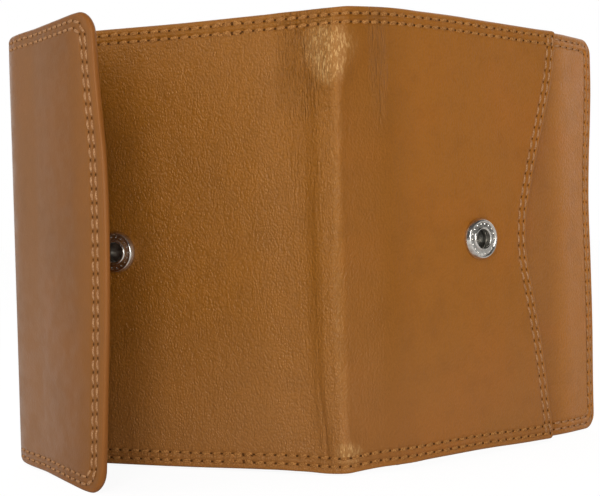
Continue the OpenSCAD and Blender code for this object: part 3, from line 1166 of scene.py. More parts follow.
def finish(piece: Piece, material: Material, slot: Slot, angle: float = 50.0) -> None:
    """Gives a piece its material and smooth shading.

    Args:
        piece: The piece.
        material: Its finish.
        slot: The record's slot; not used.
        angle: Edges sharper than this stay sharp, in degrees.
    """
    piece.data.materials.clear()
    piece.data.materials.append(material)
    select_only(piece)
    bpy.ops.object.shade_smooth_by_angle(angle=math.radians(angle))
    piece.select_set(False)


@dataclass(frozen=True)
class StitchLook:
    """Sizes of one kind of stitch in millimetres, with its slant in degrees."""

    pitch: float = 2.8
    gap: float = 0.35
    width: float = 1.0
    height: float = 0.62
    slant: float = 12.0
    hole: float = 0.31
    pale: bool = False


@dataclass
class StitchKit:
    """One stitch and one needle hole, whose dark dish is painted shade, copied along every seam."""

    finishes: Finishes
    sag: float = 0.6
    hole_lift: float = 0.03
    hole_shape: tuple[float, float, float] = (1.3, 0.85, 1.0)

    def __post_init__(self) -> None:
        """Models the stitch and the hole once."""
        self.stitch = self._model_stitch()
        self.hole = self._model_hole()

    def _model_stitch(self) -> Shape:
        """Models one stitch of length 1 along x: a rod whose ends dive into the leather."""
        bpy.ops.mesh.primitive_cylinder_add(vertices=6, radius=0.5, depth=1, end_fill_type="NGON",
                                            rotation=(0, math.pi / 2, 0))
        bpy.ops.object.transform_apply(location=False, rotation=True, scale=True)
        with editing():
            for x in (-0.4, -0.22, 0.0, 0.22, 0.4):
                bpy.ops.mesh.select_all(action="SELECT")
                bpy.ops.mesh.bisect(plane_co=(x, 0, 0), plane_no=(1, 0, 0))
        points, faces = self._take()
        x = 2 * points[:, 0]
        taper, thinnest, rise, dive = 0.6, 0.05, 0.22, 0.75
        swell = np.sqrt(np.maximum(1 - x ** 2 * taper, thinnest))
        points[:, 1] *= swell
        points[:, 2] = points[:, 2] * swell + rise - dive * x ** 4
        return points, faces

    def _model_hole(self) -> Shape:
        """Models one needle hole of radius 1: a low dish on the leather, dark as painted shade."""
        bpy.ops.mesh.primitive_circle_add(vertices=8, radius=1, fill_type="NGON")
        with editing():
            bpy.ops.mesh.inset(thickness=0.45, depth=-0.1)
        return self._take()

    @staticmethod
    def _take() -> Shape:
        """Takes the points and faces of the active piece, and removes it."""
        piece = bpy.context.object
        points = np.array([v.co for v in piece.data.vertices], float)
        faces = [tuple(p.vertices) for p in piece.data.polygons]
        bpy.data.objects.remove(piece)
        return points, faces

    @staticmethod
    def marks(path: Floats, look: StitchLook) -> Floats:
        """Spaces needle holes evenly along a row.

        Args:
            path: The row's s and z.
            look: The stitch's sizes.

        Returns:
            s and z of every hole.
        """
        leg = np.concatenate([[0], np.cumsum(np.hypot(*np.diff(path, axis=0).T))])
        count = max(int(round(leg[-1] / look.pitch)), 1)
        far = np.linspace(0, leg[-1], count + 1)
        return np.stack([np.interp(far, leg, path[:, 0]), np.interp(far, leg, path[:, 1])], axis=1)

    def pits(self, rows: Sequence[Floats], look: StitchLook) -> list[Pair]:
        """Lists where the thread pulls pits into the leather."""
        return [tuple(mark) for path in rows for mark in self.marks(path, look)]

    def sew(self, name: str, sheet: Sheet, rows: Sequence[Floats], look: StitchLook
            ) -> tuple[Piece, Piece]:
        """Sews rows of stitches on a sheet.

        Args:
            name: Start of the two pieces' names.
            sheet: The sheet that carries them.
            rows: For each row, its s and z as an array of two columns.
            look: The stitch's sizes.

        Returns:
            The threads and the dishes of painted shade in the needle holes.
        """
        spots, sizes, frames, knots, knot_frames = ([] for _ in range(5))
        for path in rows:
            marks = self.marks(path, look)
            points = sheet.surface(marks[:, 0], marks[:, 1])
            out = np.array([sheet.outward(*mark) for mark in marks])
            last = len(marks) - 1
            for k in range(last):
                along = points[k + 1] - points[k]
                frames.append(self._axes(along, out[k] + out[k + 1], look.slant))
                middle = sheet.surface(*((marks[k] + marks[k + 1]) / 2)[:, None])[0]
                spots.append(middle * self.sag + (points[k] + points[k + 1]) * (1 - self.sag) / 2)
                sizes.append(np.array([np.linalg.norm(along) - look.gap, look.width, look.height]))
            for k in range(last + 1):
                along = points[min(k + 1, last)] - points[max(k - 1, 0)]
                frame_k = self._axes(along, out[k], 0.0)
                knots.append(points[k] + frame_k[:, 2] * self.hole_lift)
                knot_frames.append(frame_k)
        threads = copies(f"{name}_threads", self.stitch, spots, frames, sizes)
        # the needle holes are dark dishes of painted shade
        dish = look.hole * np.array(self.hole_shape)
        holes = copies(f"{name}_needle_holes", self.hole, knots, knot_frames, [dish] * len(knots))
        thread = self.finishes.pale_thread if look.pale else self.finishes.thread
        finish(threads, thread, Slot.STRAP)
        finish(holes, self.finishes.hole, Slot.STRAP)
        return threads, holes

    @staticmethod
    def _axes(along: Floats, up: Floats, slant: float) -> Floats:
        """Gives axes along a stitch, across it and off the leather, as columns."""
        x = along / np.linalg.norm(along)
        z = up - x * (up @ x)
        z = z / np.linalg.norm(z)
        y = np.cross(z, x)
        c, s = math.cos(math.radians(slant)), math.sin(math.radians(slant))
        return np.stack([x * c + y * s, y * c - x * s, z], axis=1)


SEAM = StitchLook()
PALE = StitchLook(pitch=3.2, gap=0.85, width=0.72, height=0.46, slant=5.0, hole=0.24, pale=True)
FINE = StitchLook(pitch=2.8, gap=0.6, width=0.6, height=0.4, slant=5.0, hole=0.28)


def copies(name: str, shape: Shape, spots: Sequence[Floats], frames: Sequence[Floats],
           sizes: Sequence[Floats]) -> Piece:
    """Copies one modelled shape to many places and joins the copies.

    Args:
        name: The joined piece's name.
        shape: Points and faces of the shape.
        spots: Where each copy goes, in millimetres.
        frames: Each copy's axes as columns.
        sizes: Each copy's size along its axes.

    Returns:
        The joined piece.
    """
    points, faces = shape
    placed = [spot + (points * size) @ axes.T for spot, axes, size in zip(spots, frames, sizes)]
    stride = len(points)
    all_faces = [tuple(v + stride * k for v in face) for k in range(len(spots)) for face in faces]
    mesh = bpy.data.meshes.new(name)
    mesh.from_pydata((np.concatenate(placed) * MM).tolist(), [], all_faces)
    piece = bpy.data.objects.new(name, mesh)
    bpy.context.scene.collection.objects.link(piece)
    return piece


def run(points: Sequence[Pair], step: float = 0.5) -> Floats:
    """Gives a row that runs straight from point to point, densely sampled.

    Args:
        points: s and z of each corner.
        step: Longest distance between samples.

    Returns:
        An array of s and z.
    """
    result = []
    for (s0, z0), (s1, z1) in zip(points, points[1:]):
        count = max(int(math.hypot(s1 - s0, z1 - z0) / step), 1)
        t = np.arange(count) / count
        result.append(np.stack([s0 + (s1 - s0) * t, z0 + (z1 - z0) * t], axis=1))
    result.append(np.array([points[-1]], float))
    return np.concatenate(result)


def round_end(sheet: Sheet, inset: float, s_from: float, radius: float,
              at_start: bool = False, steps: int = 24) -> Floats:
    """Gives a row that runs along the top, round one end and back along the bottom.

    Args:
        sheet: The sheet.
        inset: Distance of the row from its edges.
        s_from: Where the row starts and ends.
        radius: Corner radius of the row.
        at_start: True to go round the start of the sheet instead of its end.
        steps: Stretches into which the end is divided.

    Returns:
        An array of s and z.
    """
    side, edge = (-1.0, sheet.start) if at_start else (1.0, sheet.end)

    def end(z: float, back: float = 0.0) -> float:
        """Gives where the row turns at height z, a distance back from its end."""
        return float(edge(np.array([z]))[0]) - side * inset - side * back

    top, bottom = sheet.high - inset, sheet.low + inset
    turns = [(radius * (1 - math.sin(a)), radius * (1 - math.cos(a)))
             for a in np.radians(range(0, 91, 15))]
    points = [(s_from, top), (end(top - radius, radius), top)]
    points += [(end(top - radius, across), top - along) for across, along in turns]
    points += [(end(z), z) for z in (top - radius + (bottom - top + 2 * radius) * k / steps
                                     for k in range(1, steps))]
    points += [(end(bottom + radius, along), bottom + across) for across, along in turns]
    return run([*points, (s_from, bottom)])


@dataclass
class Crumple:
    """The relief of the outer leather along the spine.

    The zones are heights in millimetres over which a change comes in. Each puff is its height, its
    distance from the ridge, its half width, its place along z and its half length.
    """

    crease: tuple[Pair, ...] = (
        (0, 0.8), (10, 0.2), (18, -0.85), (28, -1.3), (38, -1.7), (55, -1.85), (85, -1.6),
        (92, -2.0), (99, -3.4), (110, -4.8))
    ridge_h: float = 0.16
    ridge_w: float = 1.3
    valley_h: float = 0.62
    crease_h: float = 0.4
    crease_w: float = 0.6
    ridge_stretch: float = 1.06
    valley_reach: tuple[float, float, float] = (15.0, 2.2, 2.4)
    high_zone: Pair = (78.0, 104.0)
    low_zone: Pair = (4.0, 30.0)
    puffs: tuple[tuple[float, float, float, float, float], ...] = (
        (1.15, -3.5, 5.0, 95.5, 8.0), (0.75, -0.5, 3.0, 3.5, 6.0))
    snap_calm: float = 11.0
    dimple_h: float = 0.16
    dimple_w: float = 7.0

    def relief(self, s: Floats, z: Floats) -> Floats:
        """Gives the height of folds, wrinkles and seam puckers above the plain sheet.

        Args:
            s: Distance from the left crease along the skin.
            z: Height.

        Returns:
            The relief in millimetres, outwards.
        """
        s, z = together(s, z)
        ridge_s, crease_s = SpineLine.ridge(z) * self.ridge_stretch, curve(self.crease)(z)
        high_end, low_end = smooth(z, *self.high_zone), 1 - smooth(z, *self.low_zone)
        ridge = self.ridge_h * hump(s, ridge_s, self.ridge_w)
        start, full, end = self.valley_reach
        valley = smooth(s, crease_s - start, crease_s - full)
        valley = valley * (1 - smooth(s, crease_s - end, crease_s + end))
        valley = -self.valley_h * valley * (1 - 0.35 * high_end + 0.2 * low_end)
        crease = -self.crease_h * hump(s, crease_s, self.crease_w)
        crease = crease * (0.1 + 0.9 * low_end + 0.3 * high_end)
        puff = sum(height * hump(s, ridge_s + off, width) * hump(z, at_z, length)
                   for height, off, width, at_z, length in self.puffs)
        wrinkles = self._wrinkles(s, z, crease_s, 0.35 + 0.9 * high_end + 0.5 * low_end)
        return ridge + valley + crease + puff + wrinkles + self._waves(s, z)

    @staticmethod
    def _wrinkles(s: Floats, z: Floats, crease_s: Floats, ends: Floats) -> Floats:
        """Gives the fine upright wrinkles beside the crease.

        Args:
            s: Distance from the left crease along the skin.
            z: Height.
            crease_s: Where the crease runs.
            ends: How strong the wrinkles beside it are.

        Returns:
            The relief in millimetres.
        """
        sway = cloud(s, z, 9.0, 14.0, 3.1) * 1.6
        lines, small = (1 - 2.2 * np.abs(cloud(s + sway, z, width, length, seed))
                        for width, length, seed in ((1.25, 7.5, 11.0), (0.8, 3.6, 23.0)))
        zone = hump(s, crease_s + 2.6, 5.4)
        right = 0.6 * hump(s, 18.0, 1.8) * smooth(z, 74, 84)
        return (0.17 * lines + 0.1 * small) * (zone * ends + right)

    def _waves(self, s: Floats, z: Floats) -> Floats:
        """Gives the slow waves of hand-worn leather, calm round the snaps."""
        snaps = (LEFT_SNAP, (SPINE_LENGTH + RIGHT_SNAP[0], RIGHT_SNAP[1]))
        far = [np.hypot(s - at_s, z - at_z) for at_s, at_z in snaps]
        calm = 1 - np.clip(sum(hump(d, 0, self.snap_calm) for d in far), 0, 1)
        dimple = -self.dimple_h * sum(hump(d, 0, self.dimple_w) for d in far)
        waves = 0.22 * cloud(s, z, 26.0, 34.0, 5.0) + 0.05 * cloud(s, z, 7.0, 9.0, 8.0)
        return calm * waves + dimple


def seam_grooves(distance: Floats) -> Floats:
    """Gives the grooves that two rows of stitches pull into the leather.

    Args:
        distance: Distance from the edge.

    Returns:
        The relief in millimetres.
    """
    depth, width, puff_h, puff_w = 0.2, 0.42, 0.15, 0.62
    puff = puff_h * hump(distance, sum(ROWS) / 2, puff_w)
    return puff - depth * sum(hump(distance, row, width) for row in ROWS)


mouth_w = curve((
    (0, 57.4), (6, 56.6), (14, 55.5), (22, 54.3), (30, 52.8), (38, 51.1), (46, 49.2), (52, 48.2),
    (58, 48.4), (65, 49.7), (72, 51.7), (80, 54.2), (90, 57.4), (98, 59.7), (104, 60.8),
    (110, 61.6)))


@dataclass
class OuterSkins:
    """The outer leather of both halves, which meet on the spine."""

    finishes: Finishes
    kit: StitchKit
    seam_s: float = SPINE_LENGTH / 2
    blend_reach: float = 6.0
    top_lift: tuple[Pair, ...] = (
        (-81, 0.5), (-55, 0.5), (-33, 0.5), (-19, 0.7), (-5, 0.9), (6, 1.0), (13, 1.3), (22, 1.6),
        (32, 1.6), (42, 1.5), (54, 1.1), (64, 0.8), (74, 0.5), (84, 0.4))
    foot_lift: tuple[Pair, ...] = (
        (-81, 0.0), (-33, 0.0), (-20, 0.2), (-6, 0.25), (1, 0.1), (6, 0.3), (9, 0.6), (15, 1.0),
        (26, 0.85), (42, 0.9), (54, 0.75), (64, 0.45), (74, 0.3), (84, 0.2))
    tack: Pair = (-25.5, -19.0)
    tack_side: float = 0.35
    corner_r: float = 3.2
    least_r: float = 0.6
    snap_hole_r: float = 3.2
    lining_inset: float = 0.9
    lining_t: float = 0.7

    def __post_init__(self) -> None:
        """Lays out the line of the outer face."""
        self.line = SpineLine(lead=POCKET_W + 8, tail=70.0)
        self.crumple = Crumple()

    def _relief(self, s: Floats, z: Floats) -> Floats:
        """Gives the whole relief of the outer leather."""
        s, z = together(s, z)
        edge = np.minimum(np.minimum(z, HEIGHT - z), s + POCKET_W)
        mouth = self._mouth(z) - s
        rim = 0.12 * hump(mouth, 0.55, 0.35) - 0.12 * sum(hump(mouth, d, 0.4) for d in MOUTH_ROWS)
        calm = smooth(np.minimum(edge, mouth), 0.5, 7.0)
        return self.crumple.relief(s, z) * calm + seam_grooves(edge) + rim * smooth(edge, 1.0, 2.5)

    def _lift(self, s: Floats, z: Floats) -> Floats:
        """Gives how far the leather rides up at s and height z."""
        share = np.asarray(z, float) / HEIGHT
        return curve(self.top_lift)(s) * share + curve(self.foot_lift)(s) * (1 - share)

    @staticmethod
    def _mouth(z: Floats) -> Floats:
        """Gives where the right skin ends at height z."""
        return SPINE_LENGTH + mouth_w(z)

    @staticmethod
    def _thick(s: Floats) -> Floats:
        """Gives the thickness: one layer on the spine and two beyond it."""
        turned = 1 - smooth(s, -13, -7) + smooth(s, SPINE_LENGTH + 6, SPINE_LENGTH + 12)
        return SPINE_SKIN + (TURNED - SPINE_SKIN) * turned

    @staticmethod
    def _spacing(s: float) -> float:
        """Gives the column spacing: fine along the spine and coarser away from it."""
        return 0.27 + 0.28 * float(smooth(abs(s - 5.0), 14.0, 26.0))

    def build(self) -> None:
        """Builds both skins with their seams."""
        common = {"line": self.line, "thick": self._thick, "relief": self._relief,
                  "lift": self._lift, "spacing": self._spacing, "row_spacing": 0.78}
        left = Sheet("outer_skin_left", start=constant(-POCKET_W), end=constant(self.seam_s),
                     corner=(1.5, 0.0), edges=(Edge.ROLLED, Edge.CUT), **common)
        right = Sheet("outer_skin_right", start=constant(self.seam_s), end=self._mouth,
                      corner=(0.0, 1.2), edges=(Edge.CUT, Edge.ROLLED), **common)
        left_rows = [round_end(left, d, self.seam_s, max(self.corner_r - d, self.least_r),
                               at_start=True) for d in ROWS]
        tacks = [run([(at, z + side) for at in self.tack])
                 for d, side in zip(ROWS, (self.tack_side, -self.tack_side))
                 for z in (d, HEIGHT - d)]
        long_rows = [run([(self.seam_s, z), (float(self._mouth(z)) - 1.3, z)])
                     for d in ROWS for z in (d, HEIGHT - d)]
        mouth_rows = [self._mouth_row(d) for d in MOUTH_ROWS]
        left.pits = self.kit.pits(left_rows, SEAM)
        right.pits = self.kit.pits(long_rows, SEAM) + self.kit.pits(mouth_rows, PALE)
        left_skin = left.build(self.finishes.outer, Slot.OUTER, [(*LEFT_SNAP, self.snap_hole_r)])
        right_snap = (SPINE_LENGTH + RIGHT_SNAP[0], RIGHT_SNAP[1], self.snap_hole_r)
        right_skin = right.build(self.finishes.outer, Slot.OUTER, [right_snap])
        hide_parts("cover_left", "spine_cover")
        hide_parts("cover_right")
        left_seams = self.kit.sew("seam_left", left, left_rows, SEAM)
        tack_seams = self.kit.sew("seam_tack", left, tacks, replace(SEAM, slant=-14.0, pitch=2.2))
        right_seams = self.kit.sew("seam_right", right, long_rows, SEAM)
        mouth_seams = self.kit.sew("seam_mouth", right, mouth_rows, PALE)
        for piece in (left_skin, *left_seams, *tack_seams):
            self._bend_left(piece)
        for piece in (right_skin, *right_seams, *mouth_seams):
            self._bend_right(piece)
        log.info("outer skins: %d and %d faces", len(left_skin.data.polygons),
                 len(right_skin.data.polygons))

    def build_lining(self) -> None:
        """Builds the inner face of the spine, a piece to each side of its middle."""
        common = {"line": self.line, "low": self.lining_inset, "high": HEIGHT - self.lining_inset,
                  "thick": constant(self.lining_t), "inner": True, "depth": SPINE_SKIN + 0.04,
                  "lift": self._lift, "row_spacing": 1.6, "spacing": lambda s: 0.8,
                  "sink": lambda s, z: -np.minimum(self._relief(s, z), 0)}
        left = Sheet("spine_lining_left", start=constant(-5.6), end=constant(self.seam_s),
                     edges=(Edge.ROLLED, Edge.CUT), **common)
        right = Sheet("spine_lining_right", start=constant(self.seam_s),
                      end=constant(SPINE_LENGTH + 2.4), edges=(Edge.CUT, Edge.ROLLED), **common)
        pieces = [sheet.build(self.finishes.cloth, Slot.CLOTH) for sheet in (left, right)]
        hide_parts("spine_lining")
        self._bend_left(pieces[0])
        self._bend_right(pieces[1])
        log.info("spine lining: %d faces", sum(len(piece.data.polygons) for piece in pieces))

    def _mouth_row(self, inset: float) -> Floats:
        """Gives a row of stitches beside the curved mouth."""
        heights = np.linspace(ROWS[0] - 0.3, HEIGHT - ROWS[0] + 0.3, 120)
        edge = self._mouth(heights)
        across = inset * np.sqrt(1 + np.gradient(edge, heights) ** 2)
        return np.stack([edge - across, heights], axis=1)

    def _bend_left(self, piece: Piece) -> None:
        """Bakes a piece's placing into its points."""
        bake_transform(piece)

    def _bend_right(self, piece: Piece) -> None:
        """Bakes a piece's placing into its points."""
        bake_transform(piece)


def right_line(tail: float) -> SheetLine:
    """Gives the line of the right half: flat, then bent back, then a straight tail."""
    return SheetLine(CREASE_B, OPEN_TURN, [(RIGHT_FLAT, 0.0), (EDGE_ARC, EDGE_BEND), (tail, 0.0)],
                     soften=1.0)


@dataclass
class RightHalf:
    """The back of the slip pocket, whose bent strip shows beside the curved mouth."""

    finishes: Finishes
    kit: StitchKit
    edge_w: float = 19.9
    front_depth: float = 2.05
    thick: float = 1.85
    corner: float = 4.4
    rows: Pair = (1.8, 3.5)
    bow: tuple[Pair, ...] = (
        (0, -1.6), (10, -1.6), (30, -1.3), (48, -1.6), (66, -2.0), (78, -1.3), (90, -0.2),
        (98, 0.3), (110, 0.3))

    def build(self) -> None:
        """Builds the strip with its seams."""
        line = right_line(self.edge_w + 5)
        bend_w = EDGE_BEND_R * math.sin(math.radians(EDGE_BEND))
        full = RIGHT_FLAT + EDGE_ARC + self.edge_w - bend_w + 0.4
        bow = curve(self.bow)

        def end(z: Floats) -> Floats:
            """Gives where the strip ends at height z."""
            return full + bow(z)

        sheet = Sheet("edge_strip", line, constant(3.1), end, depth=self.front_depth,
                      thick=constant(self.thick), corner=(0.0, self.corner),
                      edges=(Edge.CUT, Edge.ROLLED),
                      relief=self._relief(end), lift=self._lift,
                      spacing=lambda s: 1.0 - 0.5 * float(smooth(s, 45, 52)), row_spacing=0.9)
        start = float(mouth_w(HEIGHT)) - 2.0
        rows = [round_end(sheet, d, start, self.corner - 0.7 * d) for d in self.rows]
        sheet.pits = self.kit.pits(rows, PALE)
        strip = sheet.build(self.finishes.strip, Slot.OUTER)
        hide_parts("backing_right")
        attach(strip, "right_half")
        for piece in self.kit.sew("seam_strip", sheet, rows, PALE):
            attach(piece, "right_half")
        log.info("edge strip: %d faces", len(strip.data.polygons))

    @staticmethod
    def _lift(s: Floats, z: Floats) -> Floats:
        """Gives how far the strip rides up with the pocket front."""
        share = np.asarray(z, float) / HEIGHT
        return (0.45 * share + 0.3 * (1 - share)) * (1 - smooth(s, 60, 84))

    @staticmethod
    def _relief(end: Curve) -> Relief:
        """Gives the relief of the strip: seam grooves and slow waves."""

        def relief(s: Floats, z: Floats) -> Floats:
            """Gives the height at s and z."""
            s, z = together(s, z)
            edge = np.minimum(np.minimum(z, HEIGHT - z), end(z) - s)
            return seam_grooves(edge) + 0.12 * cloud(s, z, 20.0, 26.0, 14.0) * smooth(edge, 1, 6)

        return relief


@dataclass
class Flap:
    """The snap flap: outer leather, lining and seams.

    The fold is a list of legs with their turns in degrees, from under the pocket round to the flap.
    """

    finishes: Finishes
    kit: StitchKit
    flat_w: float = 39.0
    free_edge: tuple[Pair, ...] = (
        (0, 48.9), (7, 49.5), (22, 50.5), (36, 51.4), (55, 52.1), (69, 52.2), (80, 51.9),
        (91, 50.9), (100, 50.2), (110, 49.6))
    droop: Pair = (0.75, 0.35)
    curl: float = 27.0
    curl_r: float = 28.0
    root: float = 6.4
    root_spot: Pair = (1.5, 3.35)
    root_turn: float = 176.0
    fold: tuple[Pair, ...] = ((1.2, 8.0), (1.5, 62.0), (2.6, 14.0), (1.6, 49.0))
    swell: Pair = (15.0, 13.0)
    settled_s: float = 18.0
    tail: float = 12.0
    corner: float = 5.6
    cover_t: float = 1.9
    fold_t: float = 1.1
    lining_t: float = 0.5
    lining_inset: float = 1.1
    side_rows: Pair = (2.8, 4.3)
    long_rows: Pair = (1.75, 3.5)
    groove_h: float = 0.17
    groove_w: float = 0.42

    def _end(self, z: Floats) -> Floats:
        """Gives where the flap ends at height z: the free edge is bowed."""
        return curve(self.free_edge)(z)

    def _lift(self, s: Floats, z: Floats) -> Floats:
        """Gives how far the flap hangs at s and height z, more at its foot."""
        share = np.asarray(z, float) / HEIGHT
        foot, top = self.droop
        return -smooth(s, 2, 46) * (top * share + foot * (1 - share))

    def build(self) -> None:
        """Builds the flap."""
        x, y = FLAP_AXIS
        turn = math.radians(-FLAP_REST)
        outer = (x + FLAP_THICK * math.sin(turn), y - FLAP_THICK * math.cos(turn))
        curl = [(self.curl_r * math.radians(self.curl), self.curl), (self.tail, 0.0)]
        legs = [*self.fold, self.swell, (self.flat_w - self.swell[0], 0.0), *curl]
        line = SheetLine((x + self.root_spot[0], y + self.root_spot[1]), self.root_turn, legs,
                         s_start=-sum(length for length, _ in self.fold), soften=0.5)
        line.settle(self.settled_s, outer[0] + self.settled_s * math.cos(turn),
                    outer[1] + self.settled_s * math.sin(turn))
        cover = Sheet("flap_skin", line, constant(-self.root), self._end, thick=self._thick,
                      corner=(0.0, self.corner), edges=(Edge.CUT, Edge.ROLLED), relief=self._relief,
                      draw_in=lambda s: 1.1 * (1 - smooth(s, -2.0, 3.5)), lift=self._lift,
                      spacing=lambda s: 0.35 + 0.25 * float(smooth(s, 0, 8)), row_spacing=0.9)
        rows = [self._row(across, along) for across, along in zip(self.side_rows, self.long_rows)]
        cover.pits = self.kit.pits(rows, PALE)
        skin = cover.build(self.finishes.flap, Slot.OUTER)
        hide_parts("flap_cover")
        lining_line = SheetLine(outer, -FLAP_REST, [(self.flat_w, 0.0), *curl], soften=0.5)
        lining = Sheet("flap_lining_skin", lining_line, constant(0.2),
                       lambda z: self._end(z) - self.lining_inset, low=self.lining_inset,
                       high=HEIGHT - self.lining_inset, inner=True, lift=self._lift,
                       thick=constant(self.lining_t), depth=self.cover_t - 0.35,
                       corner=(0.0, self.corner), edges=(Edge.CUT, Edge.ROLLED),
                       spacing=lambda s: 1.2, row_spacing=1.4)
        inside = lining.build(self.finishes.inner, Slot.INNER)
        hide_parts("flap_lining")
        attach(inside, "flap")
        seams = self.kit.sew("seam_flap", cover, rows, PALE)
        for piece in seams:
            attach(piece, "flap")
        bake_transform(skin)
        log.info("flap: %d and %d faces", len(skin.data.polygons), len(inside.data.polygons))

    def _thick(self, s: Floats) -> Floats:
        """Gives the thickness: one layer at the fold and two beyond it."""
        return self.fold_t + (self.cover_t - self.fold_t) * smooth(s, 0.0, 4.0)

    def _row(self, across: float, along: float) -> Floats:
        """Gives a row of stitches round the flap.

        Args:
            across: Its distance from the free edge.
            along: Its distance from the long edges.

        Returns:
            An array of s and z.
        """
        radius = self.corner + 0.3 - along * 0.8
        top, bottom = HEIGHT - along, along
        heights = np.linspace(bottom + radius, top - radius, 60)
        edge = self._end(heights) - across
        turns = [(radius * (1 - math.sin(a)), radius * (1 - math.cos(a)))
                 for a in np.radians(range(0, 91, 15))]
        return run([(1.0, top), *((edge[-1] - back, top - down) for back, down in turns),
                    *zip(edge[::-1], heights[::-1]),
                    *((edge[0] - back, bottom + up) for up, back in turns), (1.0, bottom)])

    def _relief(self, s: Floats, z: Floats) -> Floats:
        """Gives the relief of the flap: seam grooves, a raised rim and slow waves."""
        s, z = together(s, z)
        side, along = self._end(z) - s, np.minimum(z, HEIGHT - z)
        corner = smooth(side, 2.0, 6.0)
        end = smooth(along, 2, 6)
        grooves = -self.groove_h * sum(
            sum(hump(far, row, self.groove_w) for row in rows) * fade
            for far, rows, fade in ((along, self.long_rows, corner), (side, self.side_rows, end)))
        edge = np.minimum(side, along)
        rim = -0.14 * hump(edge, 1.15, 0.3)
        waves = 0.16 * cloud(s, z, 22.0, 30.0, 17.0) * smooth(edge, 1, 8)
        return (grooves + rim + waves) * smooth(s, -2, 4)


@dataclass(frozen=True)
class Panel:
    """Sizes of one flat piece of the left half's inside, taken from its node."""

    node: str
    corner: Pair
    swell: float
    row: float


@dataclass
class LeftInside:
    """The inner face of the left half: its backing, the panel and the card slots."""

    finishes: Finishes
    kit: StitchKit
    groove_h: float = 0.12
    panels: tuple[Panel, ...] = (
        Panel("backing_left", (1.5, 1.5), 0.0, 1.6),
        Panel("inner_panel_left", (1.5, 1.5), 0.12, 1.6),
        Panel("card_slot_rear", (0.6, 1.0), 0.1, 1.3),
        Panel("card_slot_middle", (0.6, 1.0), 0.1, 1.3),
        Panel("card_slot_front", (0.6, 1.0), 0.1, 1.3))

    def build(self) -> None:
        """Builds every flat piece, with rows of stitches on all but the backing."""
        for panel in self.panels:
            self._build_panel(panel)

    @staticmethod
    def _rows(panel: Panel, width: float, low: float, high: float) -> list[Floats]:
        """Gives the rows of stitches of one piece, also up both sides of a card slot.

        Args:
            panel: Its sizes.
            width: Its width.
            low: Its lower edge.
            high: Its upper edge.

        Returns:
            The rows.
        """
        rows = [run([(2.5, z), (width - 0.8, z)]) for z in (low + panel.row, high - panel.row)]
        if panel.node.startswith("card"):
            rows += [run([(s, low + short), (s, high - short)])
                     for s, short in ((panel.row, 1.2), (width - panel.row, 2.4))]
        return rows

    def _build_panel(self, panel: Panel) -> None:
        """Builds one flat piece, which faces inwards.

        Args:
            panel: Its sizes.
        """
        low, high = box_mm(panel.node)
        width, thick = high.x - low.x, high.y - low.y
        line = SheetLine((high.x, high.y), 180.0, [(width, 0.0)], soften=0.5)

        def relief(s: Floats, z: Floats) -> Floats:
            """Gives the waves, the worn mouth and the seam grooves."""
            s, z = together(s, z)
            edge = np.minimum(np.minimum(s, width - s), np.minimum(z - low.z, high.z - z))
            waves = panel.swell * cloud(s, z, 19.0, 24.0, low.x) * smooth(edge, 1.0, 6.0)
            return waves - self.groove_h * hump(edge, panel.row, 0.4)

        sheet = Sheet(panel.node.replace("_left", "") + "_sheet", line, constant(0.0),
                      constant(width), low=low.z, high=high.z, thick=constant(thick),
                      corner=panel.corner, relief=relief, spacing=lambda s: 1.2, row_spacing=1.3,
                      fine_margin=2.6)
        piece = sheet.build(self.finishes.inner, Slot.INNER)
        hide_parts(panel.node)
        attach(piece, "left_half")
        if panel.node != "backing_left":
            rows = self._rows(panel, width, low.z, high.z)
            for seam in self.kit.sew("seam_" + sheet.name, sheet, rows, FINE):
                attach(seam, "left_half")
        log.info("%s: %d faces", piece.name, len(piece.data.polygons))


@dataclass
class RightInside:
    """The lining of the right half."""

    finishes: Finishes
    depth: float = 3.42
    thick: float = 0.56
    start: float = 2.6
    tail: float = 20.0

    def build(self) -> None:
        """Builds the lining, which ends where the box of its node does."""
        low, high = box_mm("lining_right")
        bent = math.radians(OPEN_TURN) + math.radians(EDGE_BEND)
        reach = max((high.y - CREASE_B[1]) / math.sin(bent), RIGHT_FLAT + 12.0)
        last = min(reach, RIGHT_FLAT + EDGE_ARC + 13.0)
        sheet = Sheet("right_lining", right_line(self.tail), constant(self.start), constant(last),
                      low=low.z, high=high.z, thick=constant(self.thick), depth=self.depth,
                      inner=True, corner=(1.0, 3.0), spacing=lambda s: 1.2, row_spacing=1.3,
                      fine_margin=2.6)
        piece = sheet.build(self.finishes.cloth, Slot.CLOTH)
        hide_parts("lining_right")
        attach(piece, "right_half")
        log.info("right lining: %d faces, to %.1f", len(piece.data.polygons), last)


